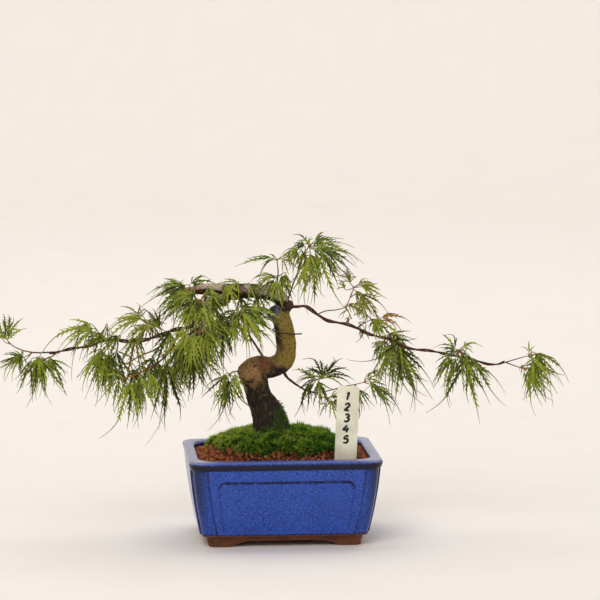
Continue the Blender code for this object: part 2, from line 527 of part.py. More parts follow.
def build_pot(parts, cutters, material):
    lip_low = POT_HEIGHT - LIP_HEIGHT
    rings = [
        plan(shrink(BAND_HALF, 1.0), 5.0, 0.0), plan(BAND_HALF, 6.0, BAND_TOP_Z),
        plan(shrink(BODY_FOOT_HALF, 1.7), 5.0, BAND_TOP_Z + 0.3, CORNER_STEP * 0.6),
        plan(shrink(BODY_FOOT_HALF, 0.5), 5.5, BAND_TOP_Z + 1.2, CORNER_STEP),
        plan(BODY_FOOT_HALF, 6.0, BODY_FOOT_Z, CORNER_STEP)]
    rings.append(plan(body_half(32.0), 6.6, 32.0, CORNER_STEP))
    rings += [
        plan(body_half(lip_low - 0.6), 7.2, lip_low - 0.6, CORNER_STEP),
        plan(shrink(LIP_HALF, 0.3), LIP_RADIUS, lip_low), plan(LIP_HALF, LIP_RADIUS, lip_low + 0.8),
        plan(LIP_HALF, LIP_RADIUS, POT_HEIGHT - 1.2), plan(shrink(LIP_HALF, 0.5), LIP_RADIUS, POT_HEIGHT - 0.4),
        plan(shrink(LIP_HALF, 1.6), LIP_RADIUS - 0.6, POT_HEIGHT),
        plan((MOUTH_HALF[0] + 1.6, MOUTH_HALF[1] + 1.6), MOUTH_RADIUS, POT_HEIGHT),
        plan((MOUTH_HALF[0] + 0.4, MOUTH_HALF[1] + 0.4), MOUTH_RADIUS, POT_HEIGHT - 0.5),
        plan(MOUTH_HALF, MOUTH_RADIUS, POT_HEIGHT - 2.0),
        plan(wall_half(FLOOR_Z + 3.0), FLOOR_RADIUS + 1.0, FLOOR_Z + 3.0),
        plan(shrink(FLOOR_HALF, 1.5), FLOOR_RADIUS, FLOOR_Z)]
    pot = loft("pot", rings, parts)
    tools = [arch("cut_arch_front", FOOT_ARCH, 1, cutters), arch("cut_arch_side", SIDE_ARCH, 0, cutters)]
    for side in (-1, 1):
        tools.append(tube("cut_drain", [(side * DRAIN_X, 0.0, 1.0, DRAIN_RADIUS),
                                        (side * DRAIN_X, 0.0, FLOOR_Z + 4.0, DRAIN_RADIUS)], 6, cutters))
    for side in (-1, 1):
        line = [(x, side * y, z, radius) for x, y, z, radius in groove_path(46.7, 43.0)]
        tools.append(tube("cut_groove", line, 1, cutters))
    cut(pot, tools)
    dress(pot, material)


# soil, moss and label

def moss_reach(x, y):
    """0 in the middle of the moss, 1 at its edge."""
    across = abs(x - MOSS_CENTRE[0]) / MOSS_HALF[0]
    along = abs(y - MOSS_CENTRE[1]) / MOSS_HALF[1]
    return (across ** 2.6 + along ** 2.6) ** (1.0 / 2.6)


def build_soil(parts, cutters, material):
    low = FLOOR_Z + GAP
    clear = GAP + 0.05
    rings = [plan(shrink(FLOOR_HALF, 1.5 + clear), FLOOR_RADIUS, low),
             plan(shrink(wall_half(low + 3.0), clear), FLOOR_RADIUS + 1.0, low + 3.0)]
    edge = shrink(wall_half(SOIL_Z), clear)
    rings.append(plan(edge, MOUTH_RADIUS, SOIL_Z - 0.8))
    for share in (0.965, 0.92, 0.87, 0.81, 0.74, 0.6):
        ring = []
        for x, y, _ in plan(edge, MOUTH_RADIUS, 0.0):
            x, y = x * share, y * share
            grain = GRAIN * noise.noise(Vector((x * 0.42, y * 0.42, 3.0)))
            ring.append((x, y, SOIL_Z + (grain if moss_reach(x, y) > 1.15 else 0.0)))
        rings.append(ring)
    soil = loft("soil", rings, parts)
    hole = TRUNK_FOOT_RADIUS + GAP
    tools = [tube("cut_trunk_hole", [(TRUNK_FOOT_X, 0.0, TRUNK_FOOT_Z - GAP, hole),
                                     (TRUNK_FOOT_X, 0.0, 90.0, hole)], 6, cutters),
             label_block("cut_label_slot", GAP, cutters)]
    cut(soil, tools)
    dress(soil, material)


def build_moss(parts, cutters, material):
    sides = 40
    rings = []
    shares = (0.97, 1.0, 0.96, 0.9, 0.82, 0.73, 0.63, 0.52, 0.4)
    for level, share in enumerate(shares):
        ring = []
        for i in range(sides):
            angle = 2.0 * math.pi * i / sides
            away = Vector((math.cos(angle), math.sin(angle)))
            edge = 1.0 / moss_reach(MOSS_CENTRE[0] + away.x, MOSS_CENTRE[1] + away.y)
            edge *= 1.0 + 0.05 * noise.noise(Vector((away.x * 3.0, away.y * 3.0, 1.0)))
            edge *= 1.0 - 0.22 * math.exp(-((math.degrees(angle) - 272.0) / 14.0) ** 2)
            x = MOSS_CENTRE[0] + away.x * edge * share
            y = MOSS_CENTRE[1] + away.y * edge * share
            z = SOIL_Z + GAP
            if level:
                z += 1.2 + MOSS_RISE * (1.0 - share ** 2.6) ** 0.55
                z += MOSS_SPIKE * noise.noise(Vector((x * 0.6, y * 0.6, 7.0))) * (0.3 + 0.7 * (level > 1))
            ring.append((x, y, z))
        rings.append(ring)
    moss = loft("moss", rings, parts)
    hole = TRUNK_FOOT_RADIUS + GAP
    cut(moss, [tube("cut_moss_hole", [(TRUNK_FOOT_X, 0.0, 40.0, hole), (TRUNK_FOOT_X, 0.0, 120.0, hole)],
                    6, cutters)])
    dress(moss, material)


def label_block(name, margin, collection):
    """The label, or with a margin the slot that it stands in."""
    width, thick, tall = LABEL_SIZE
    half_x, half_y = width / 2.0 + margin, thick / 2.0 + margin
    corner = 2.6
    outline = [(-half_x, -margin), (half_x, -margin)]
    for i in range(4):
        angle = math.radians(30.0 * i)
        outline.append((half_x - corner + corner * math.cos(angle), tall - corner + corner * math.sin(angle)))
    for i in range(4):
        angle = math.radians(90.0 + 30.0 * i)
        outline.append((-half_x + corner + corner * math.cos(angle), tall - corner + corner * math.sin(angle)))
    turn = Matrix.Rotation(math.radians(LABEL_LEAN_RIGHT), 3, "Y")
    turn = turn @ Matrix.Rotation(math.radians(-LABEL_LEAN_BACK), 3, "X")
    foot = Vector(LABEL_FOOT)
    rings = []
    for y in (-half_y, half_y):
        rings.append([tuple(foot + turn @ Vector((x, y, z))) for x, z in outline])
    return loft(name, rings, collection)


# wood and wire

def build_tree(parts, material):
    bodies = [tube("trunk", TRUNK, 4, parts), tube("lump", TRUNK_LUMP, 3, parts), tube("knob", KNOB, 3, parts),
              tube("stub", STUB, 2, parts), tube("limb", LIMB, 3, parts), tube("knot", LIMB_KNOT, 2, parts),
              tube("leader", LEADER, 1, parts)]
    bodies += [tube("branch", branch, 1, parts) for branch in BRANCHES]
    tree = fuse("tree", bodies, parts)
    dress(tree, material)
    return tree


def build_paste(parts, material):
    foot = Vector(KNOB[-1][:3])
    out = (foot - Vector(KNOB[-2][:3])).normalized()
    rows = []
    for far, radius in ((GAP, PASTE_RADIUS), (1.0, PASTE_RADIUS), (1.9, PASTE_RADIUS * 0.86),
                        (2.5, PASTE_RADIUS * 0.55)):
        rows.append((*(foot + out * far), radius))
    paste = tube("wound_paste", rows, 4, parts)
    dress(paste, material)


def along(path, far):
    """Place, direction and radius at a distance along a limb."""
    for i in range(len(path) - 1):
        start, end = Vector(path[i][:3]), Vector(path[i + 1][:3])
        length = (end - start).length
        if far <= length or i == len(path) - 2:
            share = min(far / length, 1.0)
            before = Vector(path[max(i - 1, 0)][:3])
            after = Vector(path[min(i + 2, len(path) - 1)][:3])
            turn = (start - before).lerp(after - end, share) + (end - start)
            return start.lerp(end, share), turn.normalized(), path[i][3] + (path[i + 1][3] - path[i][3]) * share
        far -= length


def helix(path, pitch, first, last, phase):
    """Points of a wire wound round a limb, a gap off its bark; a minus pitch winds it the other way."""
    points = []
    steps = int((last - first) / abs(pitch) * WIRE_STEPS)
    for i in range(steps + 1):
        far = first + abs(pitch) * i / WIRE_STEPS
        place, direction, radius = along(path, far)
        back = Vector((0.0, 1.0, 0.0))
        back = (back - direction * back.dot(direction)).normalized()
        up = direction.cross(back)
        angle = math.radians(phase) + math.copysign(2.0 * math.pi * i / WIRE_STEPS, pitch)
        reach = radius + GAP + WIRE_RADIUS + 0.22
        point = place + (back * math.cos(angle) + up * math.sin(angle)) * reach
        points.append((*point, WIRE_RADIUS))
    return points


def right_wire():
    """Round the front of the trunk, up behind it and out along the right-hand branch."""
    centre_x, centre_y, reach, low, rise = TRUNK_TURN
    points = [(14.2, -2.0, low + 0.3, WIRE_RADIUS)]
    for i in range(10):
        angle = math.radians(-22.0 - 27.0 * i)
        points.append((centre_x + reach * math.cos(angle), centre_y + reach * math.sin(angle), low + rise * i,
                       WIRE_RADIUS))
    for x, y, z in ((4.6, 12.2, 149.6), (6.8, 12.0, 155.4), (10.2, 8.8, 159.2)):
        points.append((x, y, z, WIRE_RADIUS))
    return points + helix(BRANCHES[RIGHT_BRANCH], RIGHT_PITCH, 12.5, 168.0, 0.0)


def left_wire():
    return helix(LEADER, LEFT_PITCH, 17.0, 135.0, -72.0)


def build_wires(parts):
    wires = []
    for name, points in (("wire_right", right_wire()), ("wire_left", left_wire())):
        wire = tube(name, points, 1, parts)
        dress(wire, new_material(name + "_brown", (0.05, 0.022, 0.016), 0.4, 1.0))
        wires.append(wire)
    return wires


# leaves

def surface_of(objects):
    """One search tree over the faces of several bodies."""
    bm = bmesh.new()
    for obj in objects:
        bm.from_mesh(obj.data)
    surface = BVHTree.FromBMesh(bm)
    bm.free()
    return surface


def outside(surface, point):
    """Distance from a point to the wood and wire, below zero inside them."""
    near, normal, _, distance = surface.find_nearest(point * MM)
    return math.copysign(distance / MM, (point * MM - near).dot(normal))


def clear_start(points, radius, surface):
    """Shorten a twig so that its end lies a gap outside the wood and the wire."""
    start, end = Vector(points[0]), Vector(points[1])
    ahead = (end - start).normalized()
    out = ahead.orthogonal().normalized() * radius
    rim = [Vector((0.0, 0.0, 0.0))] + [Quaternion(ahead, math.radians(45.0 * i)) @ out for i in range(8)]
    steps = int(0.9 * (end - start).length / 0.1)
    for i in range(steps):
        place = start + ahead * 0.1 * i
        if min(outside(surface, place + offset) for offset in rim) >= GAP:
            break
    return [tuple(place)] + points[1:]


def leaf(name, start, hub, tip, lobes, fan, roll, collection):
    """A cut leaf on its stalk: toothed lobes that fan out from the hub and droop towards their tips."""
    start, hub, tip = Vector(start), Vector(hub), Vector(tip)
    fall = Vector((0.0, 0.0, -1.0))
    length = (tip - hub).length
    droop = DROOP * (1.0 - 0.8 * max(0.0, (tip - hub).dot(fall) / length))
    ahead = (tip - hub) - fall * droop * length
    length = ahead.length
    ahead.normalize()
    face = Vector((0.0, -1.0, 0.45))
    face = (face - ahead * face.dot(ahead)).normalized()
    face.rotate(Quaternion(ahead, math.radians(roll)))
    side = face.cross(ahead)
    verts = [hub + face * BLADE_THICK / 2.0, hub - face * BLADE_THICK / 2.0]
    faces = []

    def add(point):
        verts.append(point)
        return len(verts) - 1

    heel = hub - ahead * 0.9
    elbow = heel - ahead * 0.45 * (heel - start).length
    bend = start * 0.25 + elbow * 0.5 + heel * 0.25
    stalk = []
    for place, way in ((heel, ahead), (bend, heel - start), (start, elbow - start)):
        turn = ahead.rotation_difference(way)
        out, across = turn @ face * STALK_RADIUS, turn @ side * STALK_RADIUS
        stalk.append([add(place + out), add(place - across), add(place - out), add(place + across)])
    for near, far in zip(stalk, stalk[1:]):
        for i in range(4):
            j = (i + 1) % 4
            faces.append((near[i], near[j], far[j], far[i]))
    faces.append(tuple(stalk[-1][::-1]))
    top, right, bottom, left = stalk[0]
    faces += [(0, right, top), (0, top, left), (1, bottom, right), (1, left, bottom)]

    middle = (lobes - 1) / 2.0
    spread = math.tan(math.radians(fan / max(middle, 1.0)) / 2.0)
    rays = []
    for i in range(lobes):
        turn = math.radians(fan * (i - middle) / max(middle, 1.0))
        share = abs(i - middle) / max(middle, 1.0)
        reach = length * (1.0 - LOBE_FALLOFF * share ** 1.4) * (1.0 + 0.1 * share * math.sin(2.4 * i + hub.x))
        rays.append((ahead * math.cos(turn) + side * math.sin(turn), reach))
    sinus = [right]
    for first, second in zip(rays, rays[1:]):
        between = (first[0] + second[0]).normalized()
        sinus.append(add(hub + between * 0.13 * min(first[1], second[1])))
    sinus.append(left)
    for i, (ray, reach) in enumerate(rays):
        across = face.cross(ray).normalized()

        def on_blade(s, width=0.0):
            return hub + ray * reach * s + fall * droop * reach * s * s + across * width * reach

        def rib(s, thick):
            slope = ray + fall * 2.0 * droop * s
            out = slope.cross(across).normalized() * thick / 2.0
            return add(on_blade(s) + out), add(on_blade(s) - out)

        point = add(on_blade(1.0))
        teeth = 2 if abs(i - middle) < 0.6 else 1 if lobes >= 7 and abs(i - middle) < 1.1 else 0
        if teeth == 2:
            ribs = [(0, 1), rib(0.28, BLADE_THICK), rib(0.58, BLADE_THICK * 0.8)]
            edge = [(0.46, TOOTH), (0.42, 0.03), (0.76, TOOTH * 0.8), (0.70, 0.024)]
        else:
            ribs = [(0, 1), rib(0.4, BLADE_THICK * 0.9)]
            edge = [(0.62, TOOTH), (0.56, 0.03)] if teeth else [(0.5, TOOTH * 0.75)]
        widest = spread * LOBE_SHARE
        edge = [(s, min(width, s * widest)) for s, width in edge]
        for hand, gap in ((-1, sinus[i]), (1, sinus[i + 1])):
            rim = [gap] + [add(on_blade(s, hand * width)) for s, width in edge] + [point]
            for layer in (0, 1):
                up = [pair[layer] for pair in ribs]
                strips = [(up[0], rim[0], up[1]), (rim[0], rim[1], up[1]), (up[1], rim[1], rim[2])]
                if teeth == 1:
                    strips.append((up[1], rim[2], point))
                if teeth == 2:
                    strips += [(up[1], rim[2], up[2]), (rim[2], rim[3], up[2]), (up[2], rim[3], rim[4]),
                               (up[2], rim[4], point)]
                flip = (hand > 0) == (layer == 0)
                faces += [(x, z, y) if flip else (x, y, z) for x, y, z in strips]
    return mesh_object(name, [tuple(vert) for vert in verts], faces, collection)


def build_spray(spray, surface, parts, material):
    name, radius, twigs, leaves = spray
    bodies = []
    joints = clear_start(twigs[0], radius, surface)
    root, following = Vector(joints[0]), Vector(joints[1])
    fork = tuple(root + (following - root).normalized() * FORK)
    paths = [joints]
    for points in twigs[1:]:
        paths.append([fork] + points[1:])
    joints = [fork] + joints[1:]
    for points in paths[1:]:
        joints += points
    for twig in paths:
        sized = []
        for step, point in enumerate(twig):
            sized.append((*point, radius * (1.0 - 0.35 * step / (len(twig) - 1))))
        bodies.append(tube(name + "_twig", sized, 0, parts))
    for start, hub, tip, lobes, fan, roll in leaves:
        bodies.append(leaf(name + "_leaf", joints[start], hub, tip, lobes, fan, roll, parts))
    dress(fuse(name, bodies, parts), material)


def main():
    clear_scene()
    parts = new_collection("maple_bonsai")
    cutters = new_collection("maple_bonsai_cutters")
    glaze = new_material("cobalt_glaze", (0.035, 0.085, 0.36), 0.25)
    soil = new_material("akadama_soil", (0.25, 0.08, 0.035), 0.95)
    moss = new_material("moss_green", (0.06, 0.14, 0.012), 0.95)
    bark = new_material("maple_bark", (0.14, 0.10, 0.05), 0.85)
    paste = new_material("wound_paste_grey", (0.035, 0.04, 0.055), 0.6)
    card = new_material("label_card", (0.68, 0.70, 0.52), 0.6)
    build_pot(parts, cutters, glaze)
    build_soil(parts, cutters, soil)
    build_moss(parts, cutters, moss)
    dress(label_block("plant_label", 0.0, parts), card)
    tree = build_tree(parts, bark)
    build_paste(parts, paste)
    wires = build_wires(parts)
    surface = surface_of([tree] + wires)
    for spray in SPRAYS:
        tint = REDDISH if spray[0].endswith("_red") else LEAFY
        build_spray(spray, surface, parts, new_material(spray[0] + "_green", tint, 0.6))


main()
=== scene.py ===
"""Looks of a lace-leaf Japanese maple bonsai in a glazed pot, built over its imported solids."""
import math
import random

import bmesh
import bpy
import numpy as np
from mathutils import Matrix, Quaternion, Vector, noise


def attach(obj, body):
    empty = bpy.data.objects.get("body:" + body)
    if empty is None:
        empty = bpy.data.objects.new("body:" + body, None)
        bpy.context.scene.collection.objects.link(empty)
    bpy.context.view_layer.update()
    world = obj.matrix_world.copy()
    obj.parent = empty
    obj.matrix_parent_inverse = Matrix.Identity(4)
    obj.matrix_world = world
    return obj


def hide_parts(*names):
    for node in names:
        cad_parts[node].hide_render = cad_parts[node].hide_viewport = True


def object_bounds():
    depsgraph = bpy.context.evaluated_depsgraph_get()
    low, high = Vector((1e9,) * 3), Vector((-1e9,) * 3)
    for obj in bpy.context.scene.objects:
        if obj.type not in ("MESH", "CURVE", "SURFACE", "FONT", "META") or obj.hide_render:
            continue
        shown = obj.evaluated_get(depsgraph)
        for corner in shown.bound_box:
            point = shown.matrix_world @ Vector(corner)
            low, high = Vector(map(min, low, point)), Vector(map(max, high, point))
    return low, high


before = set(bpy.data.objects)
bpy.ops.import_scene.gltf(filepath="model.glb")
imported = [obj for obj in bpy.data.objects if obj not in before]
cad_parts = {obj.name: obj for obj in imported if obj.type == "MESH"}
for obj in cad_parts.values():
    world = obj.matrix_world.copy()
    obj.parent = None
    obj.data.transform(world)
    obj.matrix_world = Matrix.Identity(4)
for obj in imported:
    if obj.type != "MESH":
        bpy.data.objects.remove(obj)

bl_info = {
    "name": "Lace-leaf maple bonsai",
    "version": (1, 0, 0),
    "blender": (4, 5, 0),
    "location": "View3D > Sidebar > Maple bonsai",
    "description": "Builds a wired Japanese maple bonsai, its pot, soil, moss and label",
    "category": "Object",
}

MM = 0.001
CAD_BOX = [list(corner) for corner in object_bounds()]

# The sizes below repeat the solids', in mm. Pot: half length, half depth and corner radius.
POT_HEIGHT = 60.5
LIP_HALF = (66.2, 52.0)
LIP_RADIUS = 9.0
LIP_HEIGHT = 5.2
BODY_TOP_HALF = (65.4, 51.2)
BODY_FOOT_HALF = (58.6, 43.8)
BODY_FOOT_Z = 10.0
CORNER_STEP = 1.6
CORNER_LENGTH = 11.5
BAND_TOP_Z = 7.2
BAND_HALF = (53.4, 39.4)
MOUTH_HALF = (58.8, 42.6)
MOUTH_RADIUS = 14.0
FLOOR_Z = 13.0
FLOOR_HALF = (50.5, 35.5)
FLOOR_RADIUS = 10.0
FOOT_ARCH = [(-40.0, 0.0), (-35.0, 1.3), (-30.0, 2.9), (-25.0, 4.0),
             (25.0, 4.0), (30.0, 2.9), (35.0, 1.3), (40.0, 0.0)]
SIDE_ARCH = [(-27.0, 0.0), (-22.0, 1.3), (-17.0, 2.9), (-12.0, 4.0),
             (12.0, 4.0), (17.0, 2.9), (22.0, 1.3), (27.0, 0.0)]
DRAIN_RADIUS = 6.0
DRAIN_X = 24.0
GROOVE_RADIUS = 1.1
GROOVE_TOP_Z = 46.0
GROOVE_FOOT_Z = 13.0

# Soil and moss.
SOIL_Z = 57.0
GRAIN = 1.0
MOSS_CENTRE = (-2.0, 2.0)
MOSS_HALF = (50.0, 33.0)
MOSS_RISE = 18.5
MOSS_SPIKE = 1.5
TRUNK_FOOT_X = -7.2
TRUNK_FOOT_Z = 46.0
TRUNK_FOOT_RADIUS = 13.4

# Plant label.
LABEL_SIZE = (15.2, 1.2, 80.0)
LABEL_FOOT = (40.3, -34.0, 29.0)
LABEL_LEAN_RIGHT = 2.6
LABEL_LEAN_BACK = 3.0

# Wood: (x, y, z, radius) down the middle of each limb.
TRUNK = [
    (-7.2, 0.0, 46.0, 13.4), (-7.2, 0.0, 60.0, 13.4), (-7.3, 0.0, 69.0, 13.2), (-7.5, 0.0, 76.0, 12.7),
    (-8.6, 0.0, 83.5, 11.8), (-11.4, 0.0, 90.2, 10.3), (-14.4, -0.5, 96.0, 9.1), (-16.5, -1.5, 102.3, 8.6),
    (-18.4, -2.5, 108.4, 8.9), (-20.2, -3.0, 113.6, 9.3), (-18.6, -2.6, 117.4, 8.6), (-13.6, -1.2, 118.6, 7.8),
    (-7.4, 0.6, 118.2, 7.3), (-1.6, 2.2, 119.4, 7.4), (2.4, 3.0, 123.2, 7.3), (3.8, 3.0, 128.6, 7.1),
    (3.9, 3.0, 134.6, 6.9), (3.1, 3.0, 141.0, 6.8), (1.7, 3.0, 147.2, 6.6), (0.4, 3.4, 152.6, 6.2),
    (0.8, 4.0, 157.0, 5.4), (1.2, 4.4, 160.0, 3.6)]
TRUNK_LUMP = [(-22.0, -3.6, 110.5, 4.0), (-24.2, -4.0, 115.5, 6.4), (-22.6, -3.4, 120.4, 4.2)]
KNOB = [(0.6, 3.0, 151.6, 5.9), (-2.2, 0.6, 154.4, 5.8), (-4.6, -1.4, 156.6, 5.4)]
PASTE_RADIUS = 5.5
STUB = [(1.4, 3.8, 157.0, 4.4), (5.2, 3.6, 160.2, 3.6), (7.4, 3.6, 162.8, 2.6)]
LIMB = [
    (1.0, 4.0, 157.6, 5.2), (2.2, 6.0, 162.2, 4.9), (-1.2, 8.0, 166.6, 4.9), (-7.8, 9.0, 169.0, 5.0),
    (-16.8, 9.0, 170.3, 5.0), (-25.2, 8.0, 170.6, 5.3), (-33.2, 6.0, 170.4, 5.6), (-41.2, 4.0, 171.6, 5.0),
    (-49.6, 2.0, 172.6, 4.2), (-57.6, 0.4, 172.6, 3.2), (-62.0, 0.0, 172.2, 2.2)]
LIMB_KNOT = [(-36.5, 5.0, 167.0, 4.0), (-41.0, 3.4, 165.6, 5.2), (-46.0, 1.4, 167.0, 3.6)]
LEADER = [
    (-41.0, 4.0, 169.5, 3.0), (-46.4, -1.0, 163.9, 2.3), (-53.6, -5.0, 155.5, 2.0), (-61.4, -6.0, 148.9, 1.8),
    (-69.9, -5.0, 145.9, 1.7), (-78.3, -4.0, 144.2, 1.6), (-86.6, -3.0, 141.3, 1.5), (-93.2, -2.0, 138.2, 1.5),
    (-100.1, -1.0, 137.2, 1.4), (-107.4, 0.0, 138.1, 1.4), (-115.5, 0.0, 138.7, 1.3), (-123.2, 0.0, 137.5, 1.3),
    (-131.6, 0.0, 135.2, 1.2), (-143.4, 0.0, 132.4, 1.1), (-155.0, 0.0, 130.7, 1.0), (-164.4, 0.0, 130.3, 0.9)]
BRANCHES = [
    [(-55.0, -5.3, 154.2, 1.5), (-62.5, -0.8, 146.5, 1.3), (-71.0, 7.0, 138.6, 1.2),
     (-79.8, 13.5, 133.4, 1.1), (-88.0, 19.0, 127.8, 1.0)],
    [(-69.9, -5.0, 145.9, 1.4), (-74.4, -11.0, 137.4, 1.2), (-79.8, -15.5, 129.4, 1.1),
     (-88.6, -19.5, 123.2, 1.0)],
    [(2.0, 3.4, 159.4, 3.0), (8.0, 4.0, 159.6, 2.0), (13.0, 3.0, 159.9, 1.6), (16.6, 2.0, 160.2, 1.5),
     (20.7, 2.0, 157.4, 1.5), (25.7, 1.0, 154.1, 1.4), (31.9, 1.0, 150.9, 1.4), (39.0, 0.0, 148.9, 1.3),
     (45.9, 0.0, 147.0, 1.3), (53.6, 0.0, 144.4, 1.3), (61.9, 0.0, 140.8, 1.2), (69.6, 0.0, 138.0, 1.2),
     (77.3, 0.0, 135.7, 1.2), (84.6, 0.0, 132.4, 1.1), (91.2, 0.0, 130.1, 1.1), (97.6, 0.0, 128.6, 1.1),
     (105.1, 0.0, 127.8, 1.0), (113.4, 0.0, 126.7, 1.0), (121.8, 0.0, 124.6, 1.0), (130.2, 0.0, 122.5, 1.0),
     (137.8, 0.0, 120.6, 0.9), (144.8, 0.0, 118.9, 0.9), (151.0, 0.0, 118.2, 0.9), (156.2, 0.0, 119.4, 0.8)],
    [(-10.6, 0.6, 119.0, 2.4), (-12.2, -3.0, 125.0, 1.6), (-16.1, -6.6, 131.6, 1.3), (-21.5, -9.0, 140.3, 1.1),
     (-24.6, -10.4, 147.4, 1.0), (-26.3, -11.6, 152.4, 0.9)],
    [(0.6, 3.0, 117.6, 2.4), (4.4, 8.0, 110.6, 1.6), (8.0, 12.0, 106.8, 1.4), (13.0, 16.0, 102.8, 1.2),
     (19.2, 19.6, 98.8, 1.1), (26.6, 21.6, 96.4, 1.0)],
]
RIGHT_BRANCH = 2

# Training wire: radius, and the turn it takes round the trunk.
WIRE_RADIUS = 0.75
WIRE_STEPS = 8
RIGHT_PITCH = 29.0
TRUNK_TURN = (3.4, 3.0, 8.7, 141.2, 0.42)
LEFT_PITCH = -25.0

# Leaves.
DROOP = 0.34
LOBE_FALLOFF = 0.42

